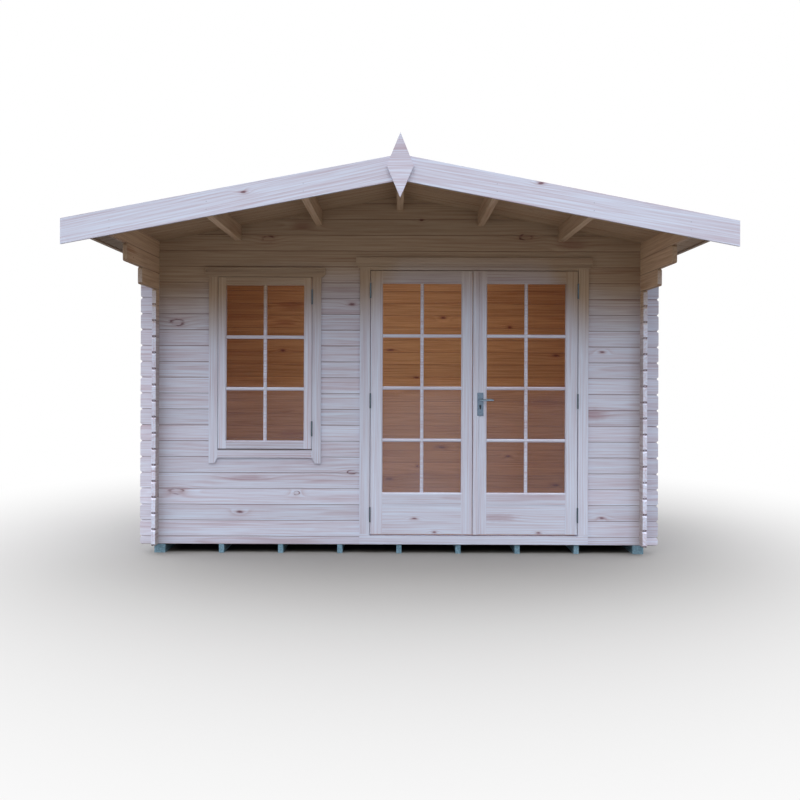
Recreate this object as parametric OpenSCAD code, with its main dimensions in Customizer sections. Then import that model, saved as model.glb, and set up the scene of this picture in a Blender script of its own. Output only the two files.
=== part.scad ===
// Log cabin with a gabled front canopy, glazed double doors and one front window.
// Lengths are millimetres. The front faces -Y, +X is to the right, the ground is z = 0,
// and x = y = 0 is the middle of the wall footprint.

/* [Walls] */
// Width between the outer faces of the side walls
wall_w = 3390; // [3200:10:4200]
// Depth between the outer faces of the front and back walls
wall_d = 2190; // [1800:10:3000]
// Thickness of a wall log
log_t = 28; // [24:1:36]
// Height of one log course
log_pitch = 110; // [104:1:120]
// Number of side courses above the doorway
over_courses = 2; // [1:1:4]
// Length of a log beyond the wall that it crosses
log_ext = 100; // [60:5:140]
// Bevel along the long edges of a log
edge_bevel = 3; // [2:0.5:6]
// Bevel on the corners of a log's free end
end_bevel = 12; // [4:1:18]
// Width of the tongue on top of a log
tongue_w = 9; // [6:0.5:11]
// Height of the tongue on top of a log
tongue_h = 8; // [5:0.5:11]
// Gap between one course and the next
joint_gap = 0.4; // [0.3:0.1:0.8]

/* [Floor] */
// Height of a floor bearer
bearer_h = 60; // [40:1:90]
// Width of an inner bearer
bearer_w = 35; // [28:1:60]
// Distance between the middles of inner bearers
bearer_pitch = 410; // [330:5:450]
// Number of inner bearers
bearer_n = 7; // [5:2:7]
// Width of the bearer under each side wall
edge_bearer_w = 75; // [44:1:100]
// Thickness of the floor
floor_t = 18; // [15:1:28]
// Gap between the floor and the walls
floor_gap = 0.6; // [0.3:0.1:0.9]

/* [Roof] */
// Slope of the roof in degrees
roof_pitch = 10.87; // [8:0.1:14]
// Half of the roof's width, from the ridge to the eaves edge
roof_half_w = 1963; // [1900:1:2300]
// Roof overhang in front of the front wall
canopy = 1200; // [900:10:1400]
// Roof overhang behind the back wall
rear_over = 200; // [150:5:400]
// Thickness of the roof boards
deck_t = 19; // [15:1:28]
// Thickness of the roof felt
felt_t = 3; // [2:0.5:5]
// Reach of the ridge felt down each slope
ridge_felt_w = 165; // [100:5:300]
// Width of a purlin
purlin_w = 44; // [35:1:60]
// Height of a purlin at its middle line
purlin_h = 97; // [80:1:105]
// Distance between the middles of purlins
purlin_pitch = 560; // [500:5:580]
// Thickness of a bargeboard
barge_t = 20; // [16:1:28]
// Width of a bargeboard, square to its slope
barge_w = 146; // [120:1:180]
// Height of a bargeboard's top edge above the roof underside at the ridge
barge_up = 38; // [30:1:60]
// Thickness of an eaves board
eaves_t = 18; // [14:1:28]
// Drop of an eaves board below the roof underside
eaves_drop = 8; // [4:1:40]
// Width of the finial
finial_w = 156; // [100:1:200]
// Height of the finial above the roof underside at the ridge
finial_up = 160; // [80:1:240]
// Height from the finial's tip to its widest point
finial_tip = 192; // [120:1:260]
// Height from the finial's widest point to its foot
finial_foot = 183; // [120:1:260]
// Thickness of the finial
finial_t = 20; // [14:1:28]
// Reach of the second side log from the top in front of the wall
corbel_mid = 860; // [600:10:880]
// Reach of the third side log from the top in front of the wall
corbel_low = 489; // [200:10:580]

/* [Doors] */
// Middle of the doorway along X
door_cx = 516; // [450:1:560]
// Width of the doorway between its jambs
doorway_w = 1440; // [1380:5:1500]
// Height of a door leaf
leaf_h = 1821; // [1700:1:1900]
// Thickness of a door leaf
leaf_t = 40; // [36:1:46]
// Running gap round a door leaf
leaf_gap = 5; // [5:0.5:8]
// Running gap below a door leaf
foot_gap = 12; // [8:0.5:16]
// Width of the stile on a leaf's hinge side
hinge_stile_w = 82; // [70:1:100]
// Width of the left leaf's meeting stile
meet_stile_w = 75; // [65:1:95]
// Width of the right leaf's lock stile
lock_stile_w = 96; // [90:1:110]
// Height of a leaf's top rail
top_rail_h = 88; // [70:1:110]
// Height of a leaf's middle rail
mid_rail_h = 83; // [60:1:110]
// Height of a leaf's bottom panel
panel_h = 203; // [150:1:300]
// Thickness of a leaf's bottom panel
panel_t = 34; // [20:1:35]
// Depth of the groove for glass and panels
groove_d = 8; // [6:0.5:12]
// Thickness of the glass
glass_t = 4; // [3:0.5:6]
// Chamfer beside the glass on stiles and rails
bead = 7; // [3:0.5:10]
// Width of the closing strip on the right leaf
strip_w = 39; // [24:1:45]
// Thickness of the closing strip
strip_t = 10; // [6:1:16]
// Chamfer on the front edges of the closing strip
strip_cut = 3; // [1:0.5:5]

/* [Frames and trim] */
// Width of a door jamb
jamb_w = 40; // [30:1:50]
// Height of the door frame's head
head_h = 22; // [18:1:40]
// Height of the door frame's threshold
threshold_h = 9; // [6:1:16]
// Depth of frames behind the wall's inner face
frame_in = 18; // [14:1:25]
// Overlap of a frame on the wall's inner face
cheek_w = 30; // [20:1:50]
// Reach of a stop into the doorway or window
stop_w = 12; // [8:1:20]
// Thickness of trim boards
trim_t = 18; // [14:1:24]
// Width of the trim beside the doorway
door_trim_w = 71; // [60:1:90]
// Height of the trim over the doorway
door_head_h = 71; // [50:1:100]
// Height of the head trim's lower edge above the leaves
door_head_up = 21; // [15:1:26]
// Height of the board below the doorway
sill_trim_h = 58; // [40:1:62]
// Overhang of a head trim past the side trims
head_over = 29; // [10:1:45]
// Bevel on the lower corners of a head trim
head_cut = 20; // [5:1:28]
// Height of the groove along a head trim
head_groove_h = 21; // [10:1:24]
// Depth of the groove along a head trim
head_groove_d = 8; // [2:0.5:10]
// Height of the door head's groove above its lower edge
door_groove_up = 7; // [5:1:30]

/* [Window] */
// Middle of the window along X
win_cx = -931.5; // [-990:0.5:-850]
// Width of the window sash
sash_w = 648; // [560:1:720]
// Height of the window sash
sash_h = 1186; // [1000:1:1230]
// Height of the sash's lower edge above the ground
sash_z = 723; // [690:1:780]
// Thickness of the window sash
sash_t = 40; // [34:1:46]
// Gap round the window sash
sash_gap = 3; // [2:0.5:5]
// Width of the sash's stiles and rails
sash_bar = 55; // [45:1:70]
// Thickness of the window frame
win_frame_t = 20; // [15:1:30]
// Width of the window's side trim
win_trim_w = 61; // [50:1:80]
// Height of the window's head trim
win_head_h = 64; // [50:1:90]
// Height of the window's sill board
win_sill_h = 62; // [40:1:80]
// Gap between the window sash and the sill board
win_sill_gap = 11; // [4:0.5:16]
// Length of the side trims below the sill board
win_foot = 39; // [20:1:60]
// Width of the slanted cut at the foot of a side trim
win_foot_cut = 20; // [8:1:40]
// Height of the window head's groove above its lower edge
win_groove_up = 30; // [10:1:35]

/* [Hinges and handle] */
// Radius of a hinge knuckle
knuckle_r = 5; // [4.5:0.5:8]
// Radius of a hinge pin
pin_r = 3; // [2:0.25:3.5]
// Height of a closed hinge
hinge_h = 104; // [70:1:120]
// Thickness of a hinge flap
flap_t = 1.5; // [1:0.1:2]
// Depth of a hinge flap behind the door's face
flap_d = 34; // [20:1:36]
// Height of the lowest hinge's middle above the leaf's foot
hinge_low = 134; // [100:1:200]
// Height of the middle hinge above the leaf's foot
hinge_mid = 922; // [600:1:1100]
// Distance of the highest hinge below the leaf's top
hinge_high = 138; // [100:1:200]
// Height of the window's lower hinge above the sash's foot
win_hinge_low = 139; // [100:1:250]
// Distance of the window's upper hinge below the sash's top
win_hinge_high = 135; // [100:1:250]
// Width of a handle plate
plate_w = 43; // [34:1:50]
// Height of a handle plate
plate_h = 160; // [120:1:220]
// Thickness of a handle plate
plate_t = 6; // [4:0.5:10]
// Distance of the handle from the lock stile's edge
handle_in = 51; // [44:1:60]
// Height of the lever above the leaf's foot
lever_up = 929; // [850:1:1050]
// Height of the lever above the plate's middle
lever_off = 29; // [20:1:50]
// Radius of the lock cylinder's round part
lock_r = 8.5; // [7:0.5:10]
// Height of the lock cylinder
lock_h = 33; // [26:1:38]
// Height of the lock cylinder's front above the plate
lock_up = 2; // [1:0.5:4]
// Width of the key slot
key_w = 3; // [2:0.5:4]
// Radius of the lever's spindle
spindle_r = 5; // [4:0.5:6]
// Radius of the lever's neck and grip
lever_r = 6.5; // [5.5:0.5:9]
// Length of the lever from its spindle
lever_l = 92; // [70:1:130]
// Distance of the lever's grip from the plate
lever_out = 34; // [25:1:50]

/* [Hidden] */
$fn = 48;
seat = 0.2;
fit = 0.3;
tongue_fit = 0.4;
over = 40;
slope = tan(roof_pitch);
plumb = 1 / cos(roof_pitch);

half_w = wall_w / 2;
half_d = wall_d / 2;
side_mid = half_w - log_t / 2;
front_mid = half_d - log_t / 2;
log_h = log_pitch - joint_gap;
half_log_h = log_pitch / 2 - joint_gap;
lap = log_pitch / 4 + seat / 2;
notch_w = log_t + 2 * fit;
front_base = bearer_h + log_pitch / 2;
leaf_z = front_base + threshold_h + foot_gap;
leaf_top = leaf_z + leaf_h;
head_z = leaf_top + leaf_gap;
door_cut_top = head_z + head_h + fit;
door_courses = ceil((door_cut_top - front_base) / log_pitch - 0.02);
side_courses = door_courses + over_courses;
wall_top = bearer_h + side_courses * log_pitch;
ridge_z = wall_top + slope * half_w;
front_courses = ceil((ridge_z - front_base) / log_pitch);
function under(x) = ridge_z - slope * abs(x);
function front_z(k) = front_base + k * log_pitch;

roof_front = -half_d - canopy;
roof_back = half_d + rear_over;
deck_half_w = roof_half_w - eaves_t - seat;
deck_v = deck_t * plumb;
felt_v = felt_t * plumb;
barge_v = barge_w * plumb;

wall_out = -half_d;
wall_in = -half_d + log_t;
face_y = wall_out - trim_t;
frame_back = wall_in + frame_in;
doorway_l = door_cx - doorway_w / 2;
doorway_r = door_cx + doorway_w / 2;
door_cut_l = doorway_l - jamb_w - fit;
door_cut_r = doorway_r + jamb_w + fit;
beside_courses = floor((door_cut_top - front_base) / log_pitch + 0.02);
door_head_z = leaf_top + door_head_up;
leaf_x0 = doorway_l + leaf_gap;
leaf_x1 = doorway_r - leaf_gap;
pane_w = (leaf_x1 - leaf_x0 - leaf_gap - 2 * hinge_stile_w - meet_stile_w - lock_stile_w) / 2;
left_leaf_w = hinge_stile_w + pane_w + meet_stile_w;
right_leaf_w = lock_stile_w + pane_w + hinge_stile_w;
right_x0 = leaf_x1 - right_leaf_w;
pane_z0 = panel_h + mid_rail_h;
pane_z1 = leaf_h - top_rail_h;
groove_w = glass_t + 2 * fit;
bite = groove_d - fit;
stop_y = face_y + leaf_t + leaf_gap;

win_l = win_cx - sash_w / 2;
win_r = win_cx + sash_w / 2;
win_top = sash_z + sash_h;
win_out = sash_gap + win_frame_t;
sash_y = face_y + sash_gap;
win_stop_y = sash_y + sash_t + seat;

pin_y = face_y - knuckle_r - 1;
hinge_rise = [hinge_low, hinge_mid, leaf_h - hinge_high];
handle_x = right_x0 + handle_in;
lever_z = leaf_z + lever_up;
plate_z = lever_z - lever_off;
lock_z = plate_z - plate_h / 8;

wood = "#d8d1d3";
shade_wood = "#cdb9a4";
treated = "#7c8a74";
felt_grey = "#4b4d50";
steel = "#707a84";
pane = "#a9bcc4";

// Box between two opposite corners
module box(low, high) {
    translate(low) cube(high - low);
}

// Flat shape in x and z, pushed along y from y0 to y1
module along_y(y0, y1) {
    translate([0, y1, 0]) rotate([90, 0, 0]) linear_extrude(y1 - y0) children();
}

// Cross-section of a log: bevelled edges, groove below, tongue above
module log_section(h) {
    t = log_t / 2;
    b = edge_bevel;
    w = tongue_w / 2;
    g = w + tongue_fit;
    d = tongue_h + tongue_fit;
    polygon([
        [-t + b, 0], [-g, 0], [-g, d], [g, d], [g, 0], [t - b, 0], [t, b],
        [t, h - b], [t - b, h], [w, h], [w, h + tongue_h], [-w, h + tongue_h],
        [-w, h], [-t + b, h], [-t, h - b], [-t, b]
    ]);
}

// Cross-section of the top side log, whose upper face lies on the roof slope
module top_log_section() {
    t = log_t / 2;
    b = edge_bevel;
    g = tongue_w / 2 + tongue_fit;
    d = tongue_h + tongue_fit;
    outer_h = log_pitch - seat;
    inner_h = outer_h + slope * log_t;
    polygon([
        [-t + b, 0], [-g, 0], [-g, d], [g, d], [g, 0], [t - b, 0], [t, b],
        [t, outer_h], [-t, inner_h], [-t, b]
    ]);
}

// Side view of a log from a to b, with bevelled free ends and corner notches
module log_face(a, b, h, bevels, notches, low_notch = true) {
    top = h + tongue_h + over;
    ca = bevels[0];
    cb = bevels[1];
    difference() {
        polygon([
            [a + ca, 0], [b - cb, 0], [b, cb], [b, h - cb], [b - cb, h], [b - cb, top],
            [a + ca, top], [a + ca, h], [a, h - ca], [a, ca]
        ]);
        for (p = notches) {
            if (low_notch)
                translate([p - notch_w / 2, -over]) square([notch_w, lap + over]);
            translate([p - notch_w / 2, h + joint_gap - lap]) square([notch_w, top]);
        }
    }
}

// Log along X from a to b: its section cut by a side view given as the child
module log_along_x(a, b, z, h) {
    intersection() {
        translate([a, 0, z]) rotate([90, 0, 90]) linear_extrude(b - a) log_section(h);
        along_y(-log_t, log_t) children();
    }
}

// Front or back log from a to b at height z, cut to the roof, purlins and openings
module gable_log(a, b, z, h, bevels, notches, low_notch = true) {
    log_along_x(a, b, z, h)
        intersection() {
            difference() {
                translate([0, z]) log_face(a, b, h, bevels, notches, low_notch);
                if (z + log_pitch + tongue_h > under(2 * purlin_pitch) - purlin_h)
                    purlin_cuts();
                children();
            }
            if (z + log_pitch + tongue_h > under(half_w + log_ext))
                gable_area();
            else
                translate([a - over, z - over]) square([b - a + 2 * over, log_pitch + 3 * over]);
        }
}

// Area of a gable wall below the roof
module gable_area() {
    w = roof_half_w;
    polygon([[-w, 0], [w, 0], [w, under(w) - seat], [0, ridge_z - seat], [-w, under(w) - seat]]);
}

// Places of the five purlins along X
function purlin_places() = [for (k = [-2:2]) k * purlin_pitch];

// Openings in a gable wall for the purlins
module purlin_cuts() {
    for (x = purlin_places())
        translate([x - purlin_w / 2 - fit, under(x) - purlin_h - fit])
            square([purlin_w + 2 * fit, purlin_h + over]);
}

// End view of a purlin, with its top on the roof slope
module purlin_face(x) {
    l = x - purlin_w / 2;
    r = x + purlin_w / 2;
    low = under(x) - purlin_h;
    mid = x == 0 ? [[0, ridge_z - seat]] : [];
    polygon(concat([[l, low], [r, low], [r, under(r) - seat]], mid, [[l, under(l) - seat]]));
}

// Timbers under the floor
module floor_bearers() color(treated) {
    for (k = [0:bearer_n - 1])
        translate([(k - (bearer_n - 1) / 2) * bearer_pitch - bearer_w / 2, -half_d, 0])
            cube([bearer_w, wall_d, bearer_h]);
    for (s = [-1, 1])
        translate([s * (half_w - edge_bearer_w / 2) - edge_bearer_w / 2, -half_d, 0])
            cube([edge_bearer_w, wall_d, bearer_h]);
}

module floor_deck() color(shade_wood)
    box([-half_w + log_t + floor_gap, wall_in + floor_gap, bearer_h],
        [half_w - log_t - floor_gap, -wall_in - floor_gap, bearer_h + floor_t]);

// Half-height log under the front or back wall; a child is cut out of it
module sill_log() {
    a = -half_w - log_ext;
    gable_log(a, -a, bearer_h, half_log_h, [end_bevel, end_bevel], [-side_mid, side_mid], false)
        children();
}

// The front sill log has no tongue under the doorway
module front_sill_log() color(wood)
    translate([0, -front_mid, 0]) sill_log()
        translate([door_cut_l, front_base - joint_gap])
            square([door_cut_r - door_cut_l, log_pitch]);

// Outline of the hole for the window
module window_hole()
    translate([win_l - win_out - fit, sash_z - win_out - fit])
        square([sash_w + 2 * win_out + 2 * fit, sash_h + 2 * win_out + 2 * fit]);

// Outline of the hole for the doorway
module door_hole()
    translate([door_cut_l, front_base - over])
        square([door_cut_r - door_cut_l, door_cut_top - front_base + over]);

module front_wall_left_logs() color(wood)
    translate([0, -front_mid, 0])
        for (k = [0:beside_courses - 1])
            gable_log(-half_w - log_ext, door_cut_l, front_z(k), log_h, [end_bevel, 0], [-side_mid])
                window_hole();

module front_wall_right_logs() color(wood)
    translate([0, -front_mid, 0])
        for (k = [0:beside_courses - 1])
            gable_log(door_cut_r, half_w + log_ext, front_z(k), log_h, [0, end_bevel], [side_mid]);

// Full-width logs from course number first up to the ridge
module gable_courses(first) {
    a = -half_w - log_ext;
    for (k = [first:front_courses - 1])
        gable_log(a, -a, front_z(k), log_h, [end_bevel, end_bevel], [-side_mid, side_mid])
            children();
}

module front_gable_logs() color(wood)
    translate([0, -front_mid, 0])
        gable_courses(beside_courses) {
            door_hole();
            window_hole();
        }

module back_wall_logs() color(wood)
    translate([0, front_mid, 0]) {
        sill_log();
        gable_courses(0);
    }

// Reach of side log k in front of the front wall: the top three step out under the canopy
function front_reach(k) =
    k == side_courses - 1 ? canopy - seat :
    k == side_courses - 2 ? corbel_mid :
    k == side_courses - 3 ? corbel_low : log_ext;

// Reach of side log k behind the back wall
function rear_reach(k) = k == side_courses - 1 ? rear_over - seat : log_ext;

// Side log k, along X, in the place of the left wall before it is turned
module side_log(k) {
    top = k == side_courses - 1;
    a = -half_d - front_reach(k);
    b = half_d + rear_reach(k);
    z = bearer_h + k * log_pitch;
    bevel = top ? 0 : end_bevel;
    intersection() {
        translate([a, 0, z]) rotate([90, 0, 90]) linear_extrude(b - a)
            if (top) top_log_section(); else log_section(log_h);
        along_y(-log_t, log_t) translate([0, z])
            log_face(a, b, log_h, [bevel, bevel], [-front_mid, front_mid]);
    }
}

module left_wall_logs() color(wood)
    translate([-side_mid, 0, 0]) rotate([0, 0, 90])
        for (k = [0:side_courses - 1])
            side_log(k);

module right_wall_logs() mirror([1, 0, 0]) left_wall_logs();

module purlin(x) along_y(roof_front + seat, roof_back - seat) purlin_face(x);

module ridge_purlin() color(shade_wood) purlin(0);

module left_purlins() color(shade_wood)
    for (k = [1, 2])
        purlin(-k * purlin_pitch);

module right_purlins() mirror([1, 0, 0]) left_purlins();

// Sloping layer on the left: from x0 to x1 out from the ridge, lifted and thick along z
module slope_layer(x0, x1, lift, thick)
    polygon([
        [-x0, under(x0) + lift], [-x0, under(x0) + lift + thick],
        [-x1, under(x1) + lift + thick], [-x1, under(x1) + lift]
    ]);

module left_roof_deck() color(shade_wood)
    along_y(roof_front + seat, roof_back - seat) slope_layer(seat, deck_half_w, 0, deck_v);

module right_roof_deck() mirror([1, 0, 0]) left_roof_deck();

module left_roof_felt() color(felt_grey)
    along_y(roof_front + seat, roof_back - seat)
        slope_layer(seat, roof_half_w, deck_v + seat, felt_v);

module right_roof_felt() mirror([1, 0, 0]) left_roof_felt();

// Felt strip bent over the ridge
module ridge_felt() color(felt_grey) {
    low = deck_v + felt_v + 2 * seat;
    high = low + felt_v;
    edge = under(ridge_felt_w);
    along_y(roof_front + seat, roof_back - seat)
        polygon([
            [0, ridge_z + low], [ridge_felt_w, edge + low], [ridge_felt_w, edge + high],
            [0, ridge_z + high], [-ridge_felt_w, edge + high], [-ridge_felt_w, edge + low]
        ]);
}

module left_eaves_board() color(wood)
    along_y(roof_front + seat, roof_back - seat)
        slope_layer(roof_half_w - eaves_t, roof_half_w, -eaves_drop, eaves_drop + deck_v);

module right_eaves_board() mirror([1, 0, 0]) left_eaves_board();

// Left bargeboard with plumb ends
module barge_face() slope_layer(seat, roof_half_w, barge_up - barge_v, barge_v);

module front_left_bargeboard() color(wood)
    along_y(roof_front - barge_t, roof_front) barge_face();

module front_right_bargeboard() mirror([1, 0, 0]) front_left_bargeboard();

module rear_left_bargeboard() color(wood)
    along_y(roof_back, roof_back + barge_t) barge_face();

module rear_right_bargeboard() mirror([1, 0, 0]) rear_left_bargeboard();

// Diamond board over the joint of the front bargeboards
module finial() color(wood) {
    tip = ridge_z + finial_up;
    wide = tip - finial_tip;
    along_y(roof_front - barge_t - finial_t, roof_front - barge_t - seat)
        polygon([[0, tip], [finial_w / 2, wide], [0, wide - finial_foot], [-finial_w / 2, wide]]);
}

// Section of a frame member from the wall's outer to its inner face, with a cheek inside.
// The opening is on the +x side of x = 0.
module frame_section(w, front_y, stop) {
    polygon([
        [-w, front_y], [0, front_y], [0, win_stop_y], [stop, win_stop_y], [stop, frame_back],
        [-w - cheek_w, frame_back], [-w - cheek_w, wall_in + seat], [-w, wall_in + seat]
    ]);
}

// Window frame: two jambs between a head and a sill
module window_frame() color(wood) {
    low = sash_z - sash_gap;
    high = win_top + sash_gap;
    front = wall_out - seat / 2;
    for (s = [0, 1])
        translate([win_cx, 0, 0]) mirror([s, 0, 0])
            translate([-sash_w / 2 - sash_gap, 0, low + fit / 2])
                linear_extrude(high - low - fit)
                    frame_section(win_frame_t, front, stop_w);
    for (s = [0, 1])
        translate([win_l - win_out, 0, (low + high) / 2]) mirror([0, 0, s])
            translate([0, 0, (low - high) / 2 - fit / 2])
                rotate([90, 0, 90]) linear_extrude(sash_w + 2 * win_out)
                    mirror([0, 1]) polygon([
                        [front, 0], [frame_back, 0], [frame_back, win_frame_t + cheek_w],
                        [wall_in + seat, win_frame_t + cheek_w], [wall_in + seat, win_frame_t],
                        [front, win_frame_t]
                    ]);
}

// Section of the two chamfers along a glazed edge at x = 0 of a member of thickness t
module bead_cuts(t) {
    for (s = [0, 1])
        translate([0, s * t]) mirror([0, s])
            polygon([[-bead - 1, -1], [1, -1], [1, bead + 1]]);
}

// Upright stile with a groove along its inner edge, which faces +x, chamfered beside the glass
// from z0 to z1
module stile(w, h, t, z0, z1) {
    difference() {
        cube([w, t, h]);
        translate([w - groove_d, t / 2 - groove_w / 2, -1]) cube([groove_d + 1, groove_w, h + 2]);
        translate([w, 0, z0]) linear_extrude(z1 - z0) bead_cuts(t);
    }
}

// Rail with stub tenons in the stiles' grooves, and a groove and chamfers beside the glass
module rail(l, h, t, groove_up) {
    glass_edge = groove_up ? h : 0;
    difference() {
        union() {
            translate([fit / 2, 0, 0]) cube([l - fit, t, h]);
            translate([-bite, t / 2 - glass_t / 2, 0]) cube([l + 2 * bite, glass_t, h]);
        }
        translate([-groove_d, t / 2 - groove_w / 2, groove_up ? h - groove_d : -1])
            cube([l + 2 * groove_d, groove_w, groove_d + 1]);
        translate([l, 0, glass_edge]) mirror([0, 0, groove_up ? 0 : 1])
            rotate([0, -90, 0]) linear_extrude(l) bead_cuts(t);
    }
}

// Pane of glass that fills an opening and enters the grooves round it
module pane_sheet(w, h)
    translate([-bite, -glass_t / 2, -bite]) cube([w + 2 * bite, glass_t, h + 2 * bite]);

module window_sash_stiles() color(wood)
    for (s = [0, 1])
        translate([win_cx, sash_y, sash_z]) mirror([s, 0, 0])
            translate([-sash_w / 2, 0, 0])
                stile(sash_bar, sash_h, sash_t, sash_bar, sash_h - sash_bar);

module window_sash_rails() color(wood) {
    span = sash_w - 2 * sash_bar;
    translate([win_l + sash_bar, sash_y, sash_z]) rail(span, sash_bar, sash_t, true);
    translate([win_l + sash_bar, sash_y, win_top - sash_bar]) rail(span, sash_bar, sash_t, false);
}

module window_glass() color(pane)
    translate([win_l + sash_bar, sash_y + sash_t / 2, sash_z + sash_bar])
        pane_sheet(sash_w - 2 * sash_bar, sash_h - 2 * sash_bar);

// Head trim over an opening of width w: bevelled lower corners and a stopped groove
module head_trim(w, h, groove_up) {
    translate([-w / 2, 0, 0])
        difference() {
            along_y(face_y, wall_out - seat)
                polygon([
                    [head_cut, 0], [w - head_cut, 0], [w, head_cut], [w, h], [0, h], [0, head_cut]
                ]);
            translate([head_cut / 2, face_y - 1, groove_up])
                cube([w - head_cut, head_groove_d + 1, head_groove_h]);
        }
}

// Boards round the window, outside
module window_trim() color(wood) {
    inner = sash_w / 2 + sash_gap;
    foot_z = sash_z - win_sill_h - win_foot;
    side_h = win_top + sash_gap - foot_z - fit;
    translate([win_cx, 0, win_top + sash_gap])
        head_trim(2 * (inner + win_trim_w + head_over), win_head_h, win_groove_up);
    for (s = [0, 1])
        translate([win_cx, 0, foot_z]) mirror([s, 0, 0]) translate([-inner - win_trim_w, 0, 0])
            along_y(face_y, wall_out - seat)
                polygon([[0, 0], [win_trim_w - win_foot_cut, 0], [win_trim_w, win_foot],
                         [win_trim_w, side_h], [0, side_h]]);
    box([win_cx - inner + fit, face_y, sash_z - win_sill_h],
        [win_cx + inner - fit, wall_out - seat, sash_z - win_sill_gap]);
}

// Closed hinges in front of the sash's right edge
module window_hinges() color(steel)
    for (z = [sash_z + win_hinge_low, win_top - win_hinge_high])
        translate([win_r + sash_gap / 2, face_y - knuckle_r - seat, z - hinge_h / 2])
            cylinder(r = knuckle_r, h = hinge_h);

// Door frame: jambs, head and threshold
module door_frame() color(wood) {
    low = front_base + seat;
    back_edge = [frame_back, wall_in + seat];
    for (s = [0, 1])
        translate([door_cx, 0, 0]) mirror([s, 0, 0])
            translate([-doorway_w / 2, 0, low]) linear_extrude(head_z - low - fit)
                polygon([
                    [-jamb_w, wall_out], [0, wall_out], [0, frame_back],
                    [-jamb_w - cheek_w, back_edge[0]], [-jamb_w - cheek_w, back_edge[1]],
                    [-jamb_w, back_edge[1]]
                ]);
    translate([doorway_l - jamb_w, 0, head_z]) rotate([90, 0, 90])
        linear_extrude(doorway_w + 2 * jamb_w)
            polygon([
                [wall_out, 0], [frame_back, 0], [frame_back, head_h + cheek_w],
                [back_edge[1], head_h + cheek_w], [back_edge[1], head_h], [wall_out, head_h]
            ]);
    box([doorway_l + fit, wall_out, low], [doorway_r - fit, frame_back, front_base + threshold_h]);
}

// Stops that the leaves close against, at the sides and the head
module door_stops() color(wood) {
    low = front_base + threshold_h + seat;
    for (s = [0, 1])
        translate([door_cx, 0, 0]) mirror([s, 0, 0])
            box([-doorway_w / 2 + seat, stop_y, low],
                [-doorway_w / 2 + stop_w, frame_back, head_z - seat]);
    box([doorway_l + stop_w + fit, stop_y, head_z - stop_w],
        [doorway_r - stop_w - fit, frame_back, head_z - seat]);
}

// Boards round the doorway, outside
module door_trim() color(wood) {
    sill_top = front_base + threshold_h;
    outer_w = doorway_w + 2 * door_trim_w;
    translate([door_cx, 0, door_head_z])
        head_trim(outer_w + 2 * head_over, door_head_h, door_groove_up);
    for (s = [0, 1])
        translate([door_cx, 0, 0]) mirror([s, 0, 0])
            box([-outer_w / 2, face_y, sill_top + fit],
                [-doorway_w / 2, wall_out - seat, door_head_z - fit]);
    box([door_cx - outer_w / 2, face_y, sill_top - sill_trim_h],
        [door_cx + outer_w / 2, wall_out - seat, sill_top]);
    box([doorway_l + fit, face_y + leaf_gap, head_z],
        [doorway_r - fit, wall_out - seat, door_head_z - fit]);
}

// Hinge half on the left door, seen with its axis at x = 0: the lower half holds the pin
module hinge_lower() {
    half = hinge_h / 2;
    gap = leaf_gap / 2;
    cylinder(r = knuckle_r, h = half);
    cylinder(r = pin_r, h = hinge_h - fit);
    box([-gap, 0, 0], [-gap + flap_t, knuckle_r + 1 + flap_d, half]);
}

module hinge_upper() {
    half = hinge_h / 2;
    gap = leaf_gap / 2;
    difference() {
        union() {
            translate([0, 0, half + fit]) cylinder(r = knuckle_r, h = half - fit);
            box([gap - flap_t, 0, half + fit], [gap, knuckle_r + 1 + flap_d, hinge_h]);
        }
        cylinder(r = pin_r + 0.1, h = hinge_h - fit / 2);
    }
}

// Places the hinges of one leaf: side -1 is the left leaf, 1 the right
module at_hinges(side) {
    for (rise = hinge_rise)
        translate([door_cx, 0, 0]) mirror([side > 0 ? 1 : 0, 0, 0])
            translate([-doorway_w / 2 + leaf_gap / 2, pin_y, leaf_z + rise - hinge_h / 2])
                children();
}

module frame_hinges() color(steel)
    for (side = [-1, 1])
        at_hinges(side) hinge_lower();

module left_door_hinges() color(steel) at_hinges(-1) hinge_upper();

module right_door_hinges() color(steel) at_hinges(1) hinge_upper();

// Both stiles of a leaf of width w whose left edge is at x0
module leaf_stiles(x0, w, left_w, right_w) {
    translate([x0, face_y, leaf_z]) stile(left_w, leaf_h, leaf_t, pane_z0, pane_z1);
    translate([x0 + w, face_y, leaf_z]) mirror([1, 0, 0])
        stile(right_w, leaf_h, leaf_t, pane_z0, pane_z1);
}

// Middle and top rails of a leaf whose pane starts at x
module leaf_rails(x) {
    translate([x, face_y, leaf_z + panel_h]) rail(pane_w, mid_rail_h, leaf_t, true);
    translate([x, face_y, leaf_z + pane_z1]) rail(pane_w, top_rail_h, leaf_t, false);
}

// Bottom panel of a leaf, with tongues in the stiles' grooves
module leaf_panel(x) {
    h = panel_h - fit;
    inset = (leaf_t - panel_t) / 2;
    translate([x, face_y, leaf_z]) {
        translate([fit / 2, inset, 0]) cube([pane_w - fit, panel_t, h]);
        translate([-bite, leaf_t / 2 - glass_t / 2, 0]) cube([pane_w + 2 * bite, glass_t, h]);
    }
}

module leaf_glass(x)
    translate([x, face_y + leaf_t / 2, leaf_z + pane_z0]) pane_sheet(pane_w, pane_z1 - pane_z0);

module left_door_stiles() color(wood)
    leaf_stiles(leaf_x0, left_leaf_w, hinge_stile_w, meet_stile_w);

module left_door_rails() color(wood) leaf_rails(leaf_x0 + hinge_stile_w);

module left_door_panel() color(wood) leaf_panel(leaf_x0 + hinge_stile_w);

module left_door_glass() color(pane) leaf_glass(leaf_x0 + hinge_stile_w);

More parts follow.
